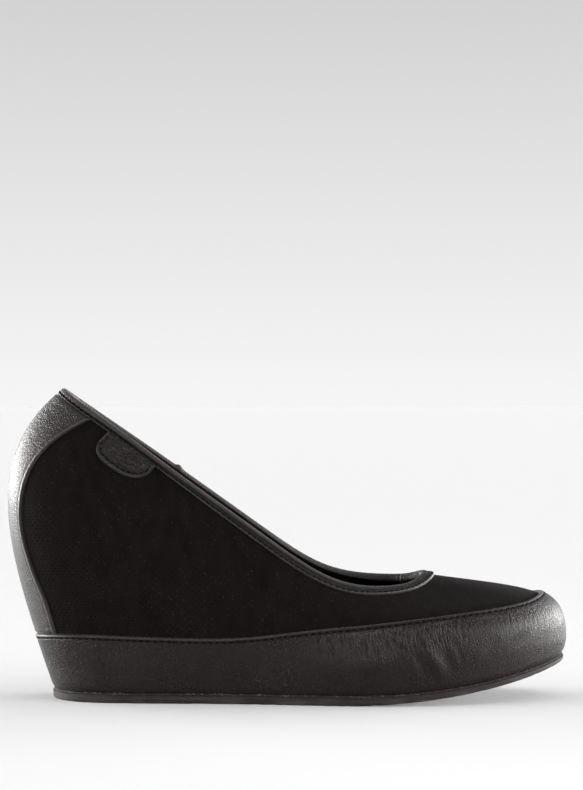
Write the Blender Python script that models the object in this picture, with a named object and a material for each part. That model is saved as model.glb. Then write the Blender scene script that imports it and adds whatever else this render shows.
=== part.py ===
"""Women's wedge pump for the right foot, as separate closed solids.

Metres, +Z up. +X points to the toe, -Y to the outer (lateral) side, and the origin is on the floor under
the middle of the shoe. The upper's outer face is one function of two values: how far round the shoe (heel,
outer side, toe, inner side) and how far up a rib, from the sole to the edge of the opening. Every leather
piece is a layer at some distance from it.
"""
import math
from collections import namedtuple

import bmesh
import bpy
import numpy as np

# Driving sizes of the last and the upper
LENGTH = 0.240
BALL_WIDTH = 0.0845
HEEL_WIDTH = 0.061
BACK_HEIGHT = 0.1323
THROAT_HEIGHT = 0.0536
UPPER_WALL = 0.0018

# Sole, wedge and insole
SOLE_THICKNESS = 0.0045
SOLE_TOE_THICKNESS = 0.0032
SOLE_EDGE = 0.0017
SOLE_EDGE_ROUND = 0.0015
SOLE_RIM = 0.0010
SOLE_RIM_STEP = 0.0005
ROCKER_START = 0.022
TOE_SPRING = 0.016
HEEL_WEDGE = 0.072
PLATFORM = 0.0134
INSOLE_THICKNESS = 0.003
INSOLE_DISH = 0.0012

# Leather trims laid over the upper
BAND_THICKNESS = 0.0012
STRIP_THICKNESS = 0.0009
STRIP_HALF_WIDTH = 0.0215
BINDING_THICKNESS = 0.0008
BINDING_DEPTH = 0.0048
TAB_THICKNESS = 0.0011
TAB_LENGTH = 0.0260
TAB_DEPTH = 0.0118
TAB_FROM_BACK = 0.0392
CLEARANCE = 0.0003

# Mesh fineness: ribs round the shoe, and rows in the band, above the band and behind the binding
RIBS = 78
BAND_ROWS = 4
QUARTER_ROWS = 8
BINDING_ROWS = 1
STRIP_RIBS = 5
STRIP_SEARCH = 0.2
STRIP_SAMPLES = 60
CAP_SPANS = 4
TAB_COLUMNS = 12
TAB_ROWS = 4
LOWER_SPAN = 0.4
FOOT_PULL = 0.33
WIDE_PULL = 0.30
EDGE_ROUND_SHARE = 0.3
BINDING_TURNS = (45, 90, 135)
TAB_CORNERS = (4.0, 2.3)
TAB_LEAST_DEPTH = 0.05
RIB_SAMPLES = 160
STEP = 1e-4
WELD = 1e-6
SHARP_ANGLE = math.radians(50)

WIDTHS = {"rear": HEEL_WIDTH, "fore": BALL_WIDTH}

# Round the shoe from the back, along the outer side to the toe and home along the inner side. x follows
# LENGTH and y the width of the row's part. wide is the line where the rib is widest, and up is how high it
# lies between sole and opening. rise is the opening's height, 0 at the throat and 1 at the back. lean and
# crown are the rib's angles from upright at its foot and at the opening. shoulder and roof say how full the
# rib is above the widest line and under the opening. band is how high the leather band's edge lies.
Station = namedtuple(
    "Station",
    "name part base_x base_y wide_x wide_y wide_up top_x top_y rise lean crown shoulder roof band",
)
STATIONS = [
    Station("back", "rear", -.412, 0, -.495, 0, .630, -.399, 0, 1, 19, 50, .50, .30, .181),
    Station("corner", "rear", -.382, -.303, -.460, -.341, .615, -.377, -.230, .950, 16, 40, .45, .33, .196),
    Station("side", "rear", -.310, -.434, -.358, -.500, .555, -.304, -.369, .797, 8, 18, .40, .33, .218),
    Station("quarter", "rear", -.192, -.475, -.200, -.533, .435, -.188, -.434, .540, 7, 14, .40, .33, .257),
    Station("waist", "rear", -.058, -.525, -.054, -.570, .320, -.050, -.467, .239, 9, 16, .40, .33, .360),
    Station("ball", "fore", .092, -.456, .100, -.485, .330, .079, -.337, -.009, 12, 30, .55, .40, .595),
    Station("vamp", "fore", .242, -.462, .250, -.488, .355, .175, -.254, -.058, 12, 55, .75, .55, .705),
    Station("bend", "fore", .384, -.343, .388, -.367, .325, .221, -.148, -.039, 10, 72, .80, .66, .716),
    Station("tip side", "fore", .460, -.148, .467, -.160, .250, .239, -.053, -.011, 8, 80, .80, .74, .721),
    Station("tip", "fore", .488, .059, .494, .059, .200, .244, .036, 0, 8, 82, .80, .74, .746),
    Station("tip side", "fore", .465, .260, .471, .272, .240, .239, .124, -.004, 8, 80, .80, .74, .716),
    Station("bend", "fore", .393, .420, .400, .438, .305, .221, .213, -.022, 10, 72, .80, .66, .698),
    Station("vamp", "fore", .258, .479, .267, .499, .330, .175, .314, -.032, 12, 55, .75, .55, .680),
    Station("ball", "fore", .108, .438, .117, .479, .340, .079, .361, .009, 12, 30, .55, .40, .589),
    Station("waist", "rear", -.058, .484, -.054, .541, .350, -.050, .475, .240, 12, 16, .40, .33, .360),
    Station("quarter", "rear", -.192, .451, -.200, .508, .435, -.188, .434, .540, 9, 14, .40, .33, .257),
    Station("side", "rear", -.310, .426, -.358, .495, .560, -.304, .369, .787, 8, 18, .40, .33, .218),
    Station("corner", "rear", -.382, .303, -.460, .341, .615, -.377, .230, .945, 16, 40, .45, .33, .196),
]
TIP_STATION = 9

# The wedge's thickness along the shoe: x as a share of LENGTH, the share of the heel's height over the
# platform, and the share of PLATFORM
Core = namedtuple("Core", "x heel platform")
CORES = [
    Core(-0.50, 1.00, 1.00),
    Core(-0.40, 0.99, 1.00),
    Core(-0.30, 0.93, 1.00),
    Core(-0.20, 0.77, 1.00),
    Core(-0.10, 0.50, 1.00),
    Core(0.00, 0.22, 1.00),
    Core(0.08, 0.06, 1.00),
    Core(0.15, 0.00, 0.99),
    Core(0.25, 0.00, 0.88),
    Core(0.35, 0.00, 0.66),
    Core(0.45, 0.00, 0.42),
    Core(0.50, 0.00, 0.30),
]

# The heel strip's half width, as a share of STRIP_HALF_WIDTH, at heights from the band (0) to the binding (1)
Flare = namedtuple("Flare", "up width")
FLARES = [
    Flare(0.00, 1.17),
    Flare(0.15, 1.20),
    Flare(0.30, 1.07),
    Flare(0.45, 0.97),
    Flare(0.60, 1.01),
    Flare(0.72, 1.09),
    Flare(0.86, 1.23),
    Flare(1.00, 1.40),
]

# Colour, roughness and metallic value of each piece
MATERIALS = {
    "outsole": ((0.020, 0.019, 0.019), 0.62, 0.0),
    "wedge": ((0.030, 0.027, 0.025), 0.80, 0.0),
    "insole": ((0.022, 0.020, 0.020), 0.55, 0.0),
    "upper": ((0.016, 0.013, 0.012), 0.95, 0.0),
    "band": ((0.018, 0.017, 0.017), 0.42, 0.0),
    "heel_strip": ((0.018, 0.017, 0.017), 0.42, 0.0),
    "binding": ((0.020, 0.019, 0.019), 0.38, 0.0),
    "tab": ((0.022, 0.021, 0.021), 0.45, 0.0),
}


def smooth_value(knots, values, at):
    """Smooth curve through the values, with slopes taken from the neighbours on each side."""
    knots = np.asarray(knots, dtype=float)
    values = np.asarray(values, dtype=float)
    slopes = np.gradient(values, knots)
    at = np.clip(at, knots[0], knots[-1])
    k = np.clip(np.searchsorted(knots, at, side="right") - 1, 0, len(knots) - 2)
    width = knots[k + 1] - knots[k]
    t = (at - knots[k]) / width
    rise = values[k + 1] - values[k]
    bend = slopes[k] * width * t * (1 - t) ** 2 - slopes[k + 1] * width * t * t * (1 - t)
    return values[k] + rise * t * t * (3 - 2 * t) + bend


def closed_spline(knots, values, at):
    """Smooth closed curve through the rows of values; the last knot is the first row again."""
    count = len(values)
    gaps = np.diff(knots)
    system = np.zeros((count, count))
    target = np.zeros_like(values)
    for i in range(count):
        before, after = gaps[i - 1], gaps[i]
        follower = (i + 1) % count
        system[i, i - 1] += before
        system[i, i] += 2 * (before + after)
        system[i, follower] += after
        target[i] = 6 * ((values[follower] - values[i]) / after - (values[i] - values[i - 1]) / before)
    curvature = np.linalg.solve(system, target)
    at = np.mod(at, 1.0)
    k = np.clip(np.searchsorted(knots, at, side="right") - 1, 0, count - 1)
    follower = (k + 1) % count
    gap = gaps[k][:, None]
    a = (knots[k + 1] - at)[:, None] / gap
    b = 1 - a
    bend = (a ** 3 - a) * curvature[k] + (b ** 3 - b) * curvature[follower]
    return a * values[k] + b * values[follower] + bend * gap ** 2 / 6


def toe_spring(x):
    """Height of the sole's underside: flat to ROCKER_START, then rolling up to the toe."""
    return TOE_SPRING * (np.maximum(0.0, x - ROCKER_START) / (LENGTH / 2 - ROCKER_START)) ** 2


def sole_top(x):
    """Height of the outsole's upper face, thinner towards the toe."""
    share = np.clip((x - ROCKER_START) / (LENGTH / 2 - ROCKER_START), 0.0, 1.0)
    return toe_spring(x) + SOLE_THICKNESS + (SOLE_TOE_THICKNESS - SOLE_THICKNESS) * share


def wedge_top(x):
    """Height of the wedge's upper face along the shoe."""
    knots = [core.x * LENGTH for core in CORES]
    heel = smooth_value(knots, [core.heel for core in CORES], x)
    platform = smooth_value(knots, [core.platform for core in CORES], x)
    return sole_top(x) + CLEARANCE + PLATFORM * platform + (HEEL_WEDGE - PLATFORM) * heel


def insole_under(x):
    return wedge_top(x) + CLEARANCE


def insole_top(x):
    return insole_under(x) + INSOLE_THICKNESS


def station_rows():
    """The station table in metres and radians, one array row a station."""
    lift = CLEARANCE + BINDING_THICKNESS
    rows = []
    for s in STATIONS:
        width = WIDTHS[s.part]
        top_z = THROAT_HEIGHT - lift + (BACK_HEIGHT - THROAT_HEIGHT) * s.rise
        rows.append([
            s.base_x * LENGTH, s.base_y * width,
            s.wide_x * LENGTH, s.wide_y * width, s.wide_up,
            s.top_x * LENGTH, s.top_y * width, top_z,
            math.radians(s.lean), math.radians(s.crown), s.shoulder, s.roof, s.band,
        ])
    return np.array(rows)


ROWS = station_rows()
CHORDS = np.linalg.norm(np.roll(ROWS[:, 2:4], -1, axis=0) - ROWS[:, 2:4], axis=1)
KNOTS = np.concatenate([[0.0], np.cumsum(CHORDS)]) / CHORDS.sum()


def unit(vectors):
    return vectors / np.linalg.norm(vectors, axis=-1, keepdims=True)


def rib_controls(around):
    """Control points of each rib: two cubic spans, foot to widest line and widest line to opening."""
    row = closed_spline(KNOTS, ROWS, around)
    ahead = closed_spline(KNOTS, ROWS, around + STEP)[:, 2:4]
    behind = closed_spline(KNOTS, ROWS, around - STEP)[:, 2:4]
    tangent = unit(ahead - behind)
    up = np.array([0.0, 0.0, 1.0])
    out = np.column_stack([tangent[:, 1], -tangent[:, 0], np.zeros(len(row))])
    foot_z = sole_top(row[:, 0]) + CLEARANCE
    foot = np.column_stack([row[:, 0:2], foot_z])
    top = row[:, 5:8]
    wide_z = foot_z + row[:, 4] * (top[:, 2] - foot_z)
    wide = np.column_stack([row[:, 2:4], wide_z])
    lean, crown = row[:, 8:9], row[:, 9:10]
    shoulder, roof = row[:, 10:11], row[:, 11:12]
    rise = wide[:, 2:3] - foot[:, 2:3]
    climb = top[:, 2:3] - wide[:, 2:3]
    through = top - foot
    through = through - np.sum(through * out, axis=1, keepdims=True) * out
    through = through / through[:, 2:3]
    inward = top - wide
    reach = np.linalg.norm(inward, axis=1, keepdims=True)
    inward = unit(inward * np.array([1.0, 1.0, 0.0]))
    foot_pull = foot + FOOT_PULL * rise * (up + np.tan(lean) * out)
    under_wide = wide - WIDE_PULL * rise * through
    over_wide = wide + shoulder * climb * through
    top_pull = top - roof * reach * (np.sin(crown) * inward + np.cos(crown) * up)
    return (foot, foot_pull, under_wide, wide), (wide, over_wide, top_pull, top)


def surface(around, height):
    """Points of the upper's outer face; both values are flat arrays of one length."""
    lower, upper = rib_controls(around)
    low = height < LOWER_SPAN
    t = np.where(low, height / LOWER_SPAN, (height - LOWER_SPAN) / (1 - LOWER_SPAN))[:, None]
    a, b, c, d = [np.where(low[:, None], p, q) for p, q in zip(lower, upper)]
    return (1 - t) ** 3 * a + 3 * t * (1 - t) ** 2 * b + 3 * t * t * (1 - t) * c + t ** 3 * d


def surface_normal(around, height):
    """Outward unit normal of the upper's outer face."""
    along = surface(around + STEP, height) - surface(around - STEP, height)
    above = np.minimum(height + STEP, 1.0)
    below = np.maximum(height - STEP, 0.0)
    return unit(np.cross(along, surface(around, above) - surface(around, below)))


def rows_on_rib(place):
    """Heights of the rows that all layers share on one rib: foot, band edge, binding edge, opening."""
    heights = np.linspace(0.0, 1.0, RIB_SAMPLES)
    points = surface(np.full(RIB_SAMPLES, place), heights)
    steps = np.linalg.norm(np.diff(points, axis=0), axis=1)
    run = np.concatenate([[0.0], np.cumsum(steps)])
    z = points[:, 2]
    share = closed_spline(KNOTS, ROWS, np.array([place]))[0, 12]
    band_edge = np.interp(z[0] + share * (z[-1] - z[0]), z, run)
    marks = (0.0, band_edge, run[-1] - BINDING_DEPTH, run[-1])
    runs = [0.0]
    for start, stop, count in zip(marks[:-1], marks[1:], (BAND_ROWS, QUARTER_ROWS, BINDING_ROWS)):
        runs.extend(np.linspace(start, stop, count + 1)[1:])
    return np.interp(runs, run, heights)


ROW_COUNT = 1 + BAND_ROWS + QUARTER_ROWS + BINDING_ROWS
BAND_EDGE = BAND_ROWS
BINDING_EDGE = BAND_ROWS + QUARTER_ROWS


def strip_edge(side):
    """Places, row by row, of the heel strip's edge on one side: 1 is the outer side and -1 the inner one."""
    places = np.linspace(0.0, STRIP_SEARCH, STRIP_SAMPLES)
    heights = np.array([rows_on_rib(side * place) for place in places])
    points = surface(np.repeat(side * places, ROW_COUNT), heights.ravel()).reshape(-1, ROW_COUNT, 3)
    steps = np.linalg.norm(np.diff(points, axis=0), axis=2)
    run = np.vstack([np.zeros(ROW_COUNT), np.cumsum(steps, axis=0)])
    edge = []
    for row in range(ROW_COUNT):
        up = (row - BAND_EDGE) / QUARTER_ROWS
        width = STRIP_HALF_WIDTH * smooth_value([f.up for f in FLARES], [f.width for f in FLARES], up)
        edge.append(side * np.interp(width, run[:, row], places))
    return edge


def rib_places():
    """Places of the ribs round each row: rib 0 at the heel's middle, rib RIBS / 2 at the toe's.

    Ribs STRIP_RIBS to either side of the heel's middle run along the heel strip's edges.
    """
    toe = KNOTS[TIP_STATION]
    side_ribs = RIBS // 2 - STRIP_RIBS
    rows = []
    for outer_edge, inner_edge in zip(strip_edge(1), strip_edge(-1)):
        rows.append(np.concatenate([
            np.linspace(0.0, outer_edge, STRIP_RIBS, endpoint=False),
            np.linspace(outer_edge, toe, side_ribs, endpoint=False),
            np.linspace(toe, 1.0 + inner_edge, side_ribs, endpoint=False),
            np.linspace(1.0 + inner_edge, 1.0, STRIP_RIBS, endpoint=False),
        ]))
    return np.array(rows)


PLACES = rib_places()
HEIGHTS = np.array([[rows_on_rib(place)[row] for place in line] for row, line in enumerate(PLACES)])
SKIN = surface(PLACES.ravel(), HEIGHTS.ravel()).reshape(ROW_COUNT, RIBS, 3)
NORMALS = surface_normal(PLACES.ravel(), HEIGHTS.ravel()).reshape(ROW_COUNT, RIBS, 3)


def layer(distance):
    """The upper's outer face moved out by distance, its foot kept level with the sole."""
    points = SKIN + distance * NORMALS
    flat = NORMALS[0, :, :2]
    foot = SKIN[0, :, :2] + distance * flat / np.sum(flat * flat, axis=1, keepdims=True)
    points[0] = np.column_stack([foot, sole_top(foot[:, 0]) + CLEARANCE])
    return points


def on_layer(points, row, rib):
    """A point on a layer's facets, at a row and rib that need not be whole numbers."""
    low_row = min(max(int(math.floor(row)), 0), ROW_COUNT - 2)
    low_rib = int(math.floor(rib))
    up, along = row - low_row, rib - low_rib
    here, after = low_rib % RIBS, (low_rib + 1) % RIBS
    low, low_after = points[low_row, here], points[low_row, after]
    high, high_after = points[low_row + 1, here], points[low_row + 1, after]
    if along >= up:
        return low + along * (low_after - low) + up * (high_after - low_after)
    return low + up * (high - low) + along * (high_after - high)


def cut_off(points, height):
    """The rows of a layer up to where each rib meets a height that depends on x; higher rows end there."""
    over = points[:, :, 2] - height(points[:, :, 0])
    rows = points.copy()
    for rib in range(RIBS):
        first = int(np.argmax(over[:, rib] > 0))
        share = over[first - 1, rib] / (over[first - 1, rib] - over[first, rib])
        meeting = points[first - 1, rib] * (1 - share) + points[first, rib] * share
        rows[first:, rib] = meeting
    return rows


def split_quad(points, a, a_after, b, b_after):
    """Two triangles between points a and b of one rib and the next rib's.

    The cut always runs from the lower row to the next rib's higher row, so that facing layers stay parallel.
    """
    if points[a][2] + points[a_after][2] <= points[b][2] + points[b_after][2]:
        return [(a, a_after, b_after), (a, b_after, b)]
    return [(a, a_after, b), (a_after, b_after, b)]


def build_solid(name, vertices, faces):
    """Make one closed object with its faces outward and its own material."""
    mesh = bpy.data.meshes.new(name)
    mesh.from_pydata([tuple(v) for v in vertices], [], faces)
    form = bmesh.new()
    form.from_mesh(mesh)
    bmesh.ops.remove_doubles(form, verts=form.verts, dist=WELD)
    bmesh.ops.recalc_face_normals(form, faces=form.faces)
    form.to_mesh(mesh)
    form.free()
    mesh.shade_smooth()
    mesh.set_sharp_from_angle(angle=SHARP_ANGLE)
    colour, roughness, metallic = MATERIALS[name]
    material = bpy.data.materials.new(name)
    material.use_nodes = True
    shader = material.node_tree.nodes["Principled BSDF"]
    shader.inputs["Base Color"].default_value = (*colour, 1.0)
    shader.inputs["Roughness"].default_value = roughness
    shader.inputs["Metallic"].default_value = metallic
    mesh.materials.append(material)
    obj = bpy.data.objects.new(name, mesh)
    bpy.context.scene.collection.objects.link(obj)
    return obj


def tube_of_sections(name, sections):
    """A closed loop of closed sections: sections[k][rib] is point k of the section on that rib."""
    count, ribs = len(sections), len(sections[0])
    vertices = [point for ring in sections for point in ring]
    faces = []
    for k in range(count):
        for rib in range(ribs):
            above, after = (k + 1) % count, (rib + 1) % ribs
            corners = (k * ribs + rib, k * ribs + after, above * ribs + rib, above * ribs + after)
            faces += split_quad(vertices, *corners)
    return build_solid(name, vertices, faces)


def wall_between(name, outer, inner):
    """A wall round the whole shoe between two layers with the same rows."""
    return tube_of_sections(name, list(outer) + list(inner[::-1]))


def patch_between(name, outer, inner):
    """A closed slab between two open grids of the same size."""
    rows, columns = len(outer), len(outer[0])
    size = rows * columns
    vertices = [point for grid in (outer, inner) for line in grid for point in line]
    faces = []
    for r in range(rows - 1):
        for c in range(columns - 1):
            corners = (r * columns + c, r * columns + c + 1, (r + 1) * columns + c, (r + 1) * columns + c + 1)
            faces += split_quad(vertices, *corners)
            faces += [tuple(reversed(face)) for face in split_quad(vertices, *[size + i for i in corners])]
    border = [c for c in range(columns)]
    border += [r * columns + columns - 1 for r in range(1, rows)]
    border += [(rows - 1) * columns + c for c in range(columns - 2, -1, -1)]
    border += [r * columns for r in range(rows - 2, 0, -1)]
    for here, there in zip(border, border[1:] + border[:1]):
        faces.append((there, here, size + here, size + there))
    return build_solid(name, vertices, faces)


def cap_points(ring, height, dish=0.0):
    """Points across a ring, from each rib to the one facing it; their heights follow height(x)."""
    half = RIBS // 2
    inner = []
    for rib in range(1, half):
        for span in range(1, CAP_SPANS):
            share = span / CAP_SPANS
            x, y = (ring[rib] * (1 - share) + ring[RIBS - rib] * share)[:2]
            inner.append((x, y, float(height(x)) - dish * (1 - (2 * share - 1) ** 2)))
    return inner


def cap_faces(ring_start, inner_start):
    """Faces of a cap over a ring of RIBS points, wound so that the cap looks up."""
    half = RIBS // 2

    def at(rib, span):
        if rib in (0, half) or span == 0:
            return ring_start + rib
        if span == CAP_SPANS:
            return ring_start + RIBS - rib
        return inner_start + (rib - 1) * (CAP_SPANS - 1) + span - 1

    faces = []
    for rib in range(half):
        for span in range(CAP_SPANS):
            corners = [at(rib, span), at(rib + 1, span), at(rib + 1, span + 1), at(rib, span + 1)]
            faces.append(tuple(dict.fromkeys(corners)))
    return faces


def capped_solid(name, rings, bottom, top, dish=0.0):
    """Rings stacked from bottom to top, closed below and above by caps that follow bottom(x) and top(x)."""
    vertices = [point for ring in rings for point in ring]
    faces = []
    for k in range(len(rings) - 1):
        for rib in range(RIBS):
            after = (rib + 1) % RIBS
            low, high = k * RIBS, (k + 1) * RIBS
            faces += split_quad(vertices, low + rib, low + after, high + rib, high + after)
    low_start = len(vertices)
    vertices += cap_points(rings[0], bottom)
    high_start = len(vertices)
    vertices += cap_points(rings[-1], top, dish)
    faces += [tuple(reversed(face)) for face in cap_faces(0, low_start)]
    faces += cap_faces((len(rings) - 1) * RIBS, high_start)
    return build_solid(name, vertices, faces)


def make_outsole():
    """Rubber sole: rounded lower edge, upright side and a small step under its top edge."""
    foot = SKIN[0, :, :2]
    tangent = unit(np.roll(foot, -1, axis=0) - np.roll(foot, 1, axis=0))
    out = np.column_stack([tangent[:, 1], -tangent[:, 0]])

    def ring(edge, height):
        outline = foot + edge * out
        return np.column_stack([outline, height(outline[:, 0])])

    cut = EDGE_ROUND_SHARE * SOLE_EDGE_ROUND
    rings = [
        ring(SOLE_EDGE - SOLE_EDGE_ROUND, toe_spring),
        ring(SOLE_EDGE - cut, lambda x: toe_spring(x) + cut),
        ring(SOLE_EDGE, lambda x: toe_spring(x) + SOLE_EDGE_ROUND),
        ring(SOLE_EDGE, lambda x: sole_top(x) - SOLE_RIM),
        ring(SOLE_EDGE - SOLE_RIM_STEP, lambda x: sole_top(x) - SOLE_RIM),
        ring(SOLE_EDGE - SOLE_RIM_STEP, sole_top),
    ]
    return capped_solid("outsole", rings, toe_spring, sole_top)


def make_wedge():
    """Wedge and platform core that fills the upper from the sole to the insole."""
    side = cut_off(layer(-UPPER_WALL - CLEARANCE), wedge_top)
    return capped_solid("wedge", list(side), lambda x: sole_top(x) + CLEARANCE, wedge_top)


def make_insole():
    """Thin dished footbed on the wedge, clear of the upper all round."""
    inside = layer(-UPPER_WALL - CLEARANCE)
    lower = cut_off(inside, insole_under)[-1]
    upper = cut_off(inside, insole_top)[-1]
    return capped_solid("insole", [lower, upper], insole_under, insole_top, INSOLE_DISH)


def make_upper():
    """Hollow suede upper, open at the collar and underneath."""
    return wall_between("upper", layer(0.0), layer(-UPPER_WALL))


def make_band():
    """Leather band round the foot of the upper."""
    rows = slice(0, BAND_EDGE + 1)
    return wall_between("band", layer(CLEARANCE + BAND_THICKNESS)[rows], layer(CLEARANCE)[rows])


def make_binding():
    """Leather folded over the edge of the opening, with a rounded top and a flank on each side."""
    reach = UPPER_WALL / 2 + CLEARANCE
    height = CLEARANCE + BINDING_THICKNESS
    opening = SKIN[-1]
    out = NORMALS[-1]
    up = unit(SKIN[-1] - SKIN[-1 - BINDING_ROWS])
    middle = opening - UPPER_WALL / 2 * out

    def over(angle):
        turn = math.radians(angle)
        side = (reach + BINDING_THICKNESS) * math.cos(turn)
        return middle + side * out + height * math.sin(turn) * up

    outer = layer(CLEARANCE + BINDING_THICKNESS)[BINDING_EDGE:]
    inner = layer(-UPPER_WALL - CLEARANCE - BINDING_THICKNESS)[BINDING_EDGE:]
    sections = list(outer)
    sections += [over(angle) for angle in BINDING_TURNS]
    sections += list(inner[::-1])
    sections.append(layer(-UPPER_WALL - CLEARANCE)[BINDING_EDGE])
    sections.append(middle - reach * out + CLEARANCE * up)
    sections.append(middle + reach * out + CLEARANCE * up)
    sections.append(layer(CLEARANCE)[BINDING_EDGE])
    return tube_of_sections("binding", sections)


def rows_apart(row, rib, distance):
    """How many rows a distance along a rib is, just above a row; the rib need not be a whole number."""
    return distance / np.linalg.norm(on_layer(SKIN, row + 1, rib) - on_layer(SKIN, row, rib))


def make_heel_strip():
    """Back strip between the band and the binding; its edges flare out under the collar."""

    def grid(points):
        lines = []
        for row in range(BAND_EDGE, BINDING_EDGE + 1):
            line = []
            for rib in range(-STRIP_RIBS, STRIP_RIBS + 1):
                height = float(row)
                if row == BAND_EDGE:
                    height += rows_apart(row, rib, CLEARANCE)
                if row == BINDING_EDGE:
                    height -= rows_apart(row - 1, rib, CLEARANCE)
                line.append(on_layer(points, height, rib))
            lines.append(line)
        return lines

    return patch_between("heel_strip", grid(layer(CLEARANCE + STRIP_THICKNESS)), grid(layer(CLEARANCE)))


def make_tab():
    """Half-moon leather tab on the outer side, hanging square from the binding's lower edge."""
    line = SKIN[BINDING_EDGE, :RIBS // 2]
    run = np.concatenate([[0.0], np.cumsum(np.linalg.norm(np.diff(line, axis=0), axis=1))])
    ribs = np.arange(RIBS // 2)
    middle = int(np.interp(TAB_FROM_BACK + TAB_LENGTH / 2, run, ribs))
    edge = unit(line[middle + 1] - line[middle])
    down_rib = unit(SKIN[BINDING_EDGE - 1, middle] - line[middle])
    slant = float(np.dot(edge, down_rib))
    square = math.sqrt(1 - slant * slant)

    def depth(across):
        """Depth of the tab at -1 (rear end) to 1 (front end), rounder in front."""
        corner = TAB_CORNERS[0] if across < 0 else TAB_CORNERS[1]
        bow = max(0.0, 1 - abs(across) ** corner) ** (1 / corner)
        return TAB_DEPTH * (TAB_LEAST_DEPTH + (1 - TAB_LEAST_DEPTH) * bow)

    def grid(points):
        lines = []
        for step in range(TAB_ROWS + 1):
            line_points = []
            for column in range(TAB_COLUMNS + 1):
                across = -math.cos(math.pi * column / TAB_COLUMNS)
                down = CLEARANCE + depth(across) * step / TAB_ROWS
                from_back = TAB_FROM_BACK + TAB_LENGTH * (across + 1) / 2 - down * slant / square
                rib = float(np.interp(from_back, run, ribs))
                row = BINDING_EDGE - rows_apart(BINDING_EDGE - 1, rib, down / square)
                line_points.append(on_layer(points, row, rib))
            lines.append(line_points)
        return lines

    return patch_between("tab", grid(layer(CLEARANCE + TAB_THICKNESS)), grid(layer(CLEARANCE)))


def main():
    for old in list(bpy.data.objects):
        bpy.data.objects.remove(old, do_unlink=True)
    shoe = bpy.data.objects.new("wedge_pump", None)
    bpy.context.scene.collection.objects.link(shoe)
    makers = (
        make_outsole, make_wedge, make_insole, make_upper,
        make_band, make_heel_strip, make_binding, make_tab,
    )
    for make in makers:
        make().parent = shoe


main()
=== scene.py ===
"""Wedge pump in perforated suede and smooth leather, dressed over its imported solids.

Metres, +Z up, +X to the toe, -Y to the outer side. Every piece is laid on the last: a point of it is a place
round the shoe (0 at the back, then the outer side, the toe and the inner side), a run up the rib from the
sole, and a lift out from the upper's outer face.
"""
import math
from collections import namedtuple

import bpy
import numpy as np
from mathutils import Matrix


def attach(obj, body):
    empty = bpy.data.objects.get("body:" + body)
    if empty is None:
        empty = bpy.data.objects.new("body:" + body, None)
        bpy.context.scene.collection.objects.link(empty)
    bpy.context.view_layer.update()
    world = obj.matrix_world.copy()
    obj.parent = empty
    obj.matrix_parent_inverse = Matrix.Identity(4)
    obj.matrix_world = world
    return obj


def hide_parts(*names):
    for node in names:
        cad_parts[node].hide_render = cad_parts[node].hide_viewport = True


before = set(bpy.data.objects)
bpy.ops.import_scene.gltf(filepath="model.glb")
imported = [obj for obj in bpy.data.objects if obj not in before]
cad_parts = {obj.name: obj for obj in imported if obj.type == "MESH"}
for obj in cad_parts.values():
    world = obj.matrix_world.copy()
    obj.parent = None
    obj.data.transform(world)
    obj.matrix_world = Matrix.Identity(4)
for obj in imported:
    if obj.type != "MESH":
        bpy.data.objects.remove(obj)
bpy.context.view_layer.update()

bl_info = {
    "name": "Wedge Pump",
    "version": (1, 0, 0),
    "blender": (4, 5, 0),
    "location": "3D View > Sidebar > Shoe",
    "description": "Makes the suede, leather, stitches and sole of a wedge pump over its solids",
    "category": "Add Mesh",
}

MM = 0.001

# Driving sizes of the last, as in the solids
LENGTH = 0.240
WIDTHS = {"rear": 0.061, "fore": 0.0845}
BACK_HEIGHT = 0.1323
THROAT_HEIGHT = 0.0536
UPPER_WALL = 0.0018
CLEARANCE = 0.0003

# Sole, wedge and insole
SOLE_THICKNESS = 0.0045
SOLE_TOE_THICKNESS = 0.0032
SOLE_EDGE = 0.0017
SOLE_EDGE_ROUND = 0.0015
SOLE_RIM = 0.0010
SOLE_RIM_STEP = 0.0005
ROCKER_START = 0.022
TOE_SPRING = 0.016
HEEL_WEDGE = 0.072
PLATFORM = 0.0134
INSOLE_THICKNESS = 0.003
INSOLE_DISH = 0.0012
INSOLE_HEEL_DISH = 0.0006
INSOLE_EDGE = 0.0008
INSOLE_BEVEL = 0.0006

# The tread's ribs: their distance from the plain border, their depth in the sole, and where they end
TREAD_GAP = 0.0006
TREAD_ROOT = 0.0004
TREAD_END = 0.002

# Leather trims
BAND_THICKNESS = 0.0012
STRIP_THICKNESS = 0.0009
STRIP_HALF_WIDTH = 0.0215
STRIP_BEAD = 0.0009
STRIP_GROOVE = 0.0022
BINDING_THICKNESS = 0.0008
BINDING_DEPTH = 0.0045
TAB_THICKNESS = 0.0011
TAB_LENGTH = 0.0250
TAB_DEPTH = 0.0113
TAB_FROM_BACK = 0.0387
TAB_CORNERS = (3.0, 2.3)
TAB_LEAST_DEPTH = 0.05
TAB_SEAM = 0.0018
TAB_STITCH_PITCH = 0.0024
SEAT = 0.00005

# How far the suede reaches under the band and ends short of the opening's edge, and the plain suede that is
# left between the pinholes and each trim
SUEDE_UNDER_BAND = 0.005
SUEDE_SHORT = 0.0006
PLAIN = {"band": 0.0011, "binding": 0.0009, "strip": 0.0016, "tab": 0.0006}

# Depths of the grooves under the stitches, and how far above the binding's lower edge its groove lies
BAND_GROOVE_DEPTH = 0.00038
BINDING_GROOVE_DEPTH = 0.00022
BINDING_GROOVE = 0.0011

# The swell of the lip above the band's stitches, and how far the band is drawn in at the sole
LIP_SWELL = 0.00016
FOOT_TUCK = 0.00035

# Pleats of the binding round the throat, and the bulge where its ends meet, whose width is a share of the
# way round
PLEAT_DEPTH = 0.00020
PLEAT_PITCH = 0.0017
OVERLAP_X = -0.0475
OVERLAP_HEIGHT = 0.0011
OVERLAP_WIDTH = 0.0028

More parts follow.
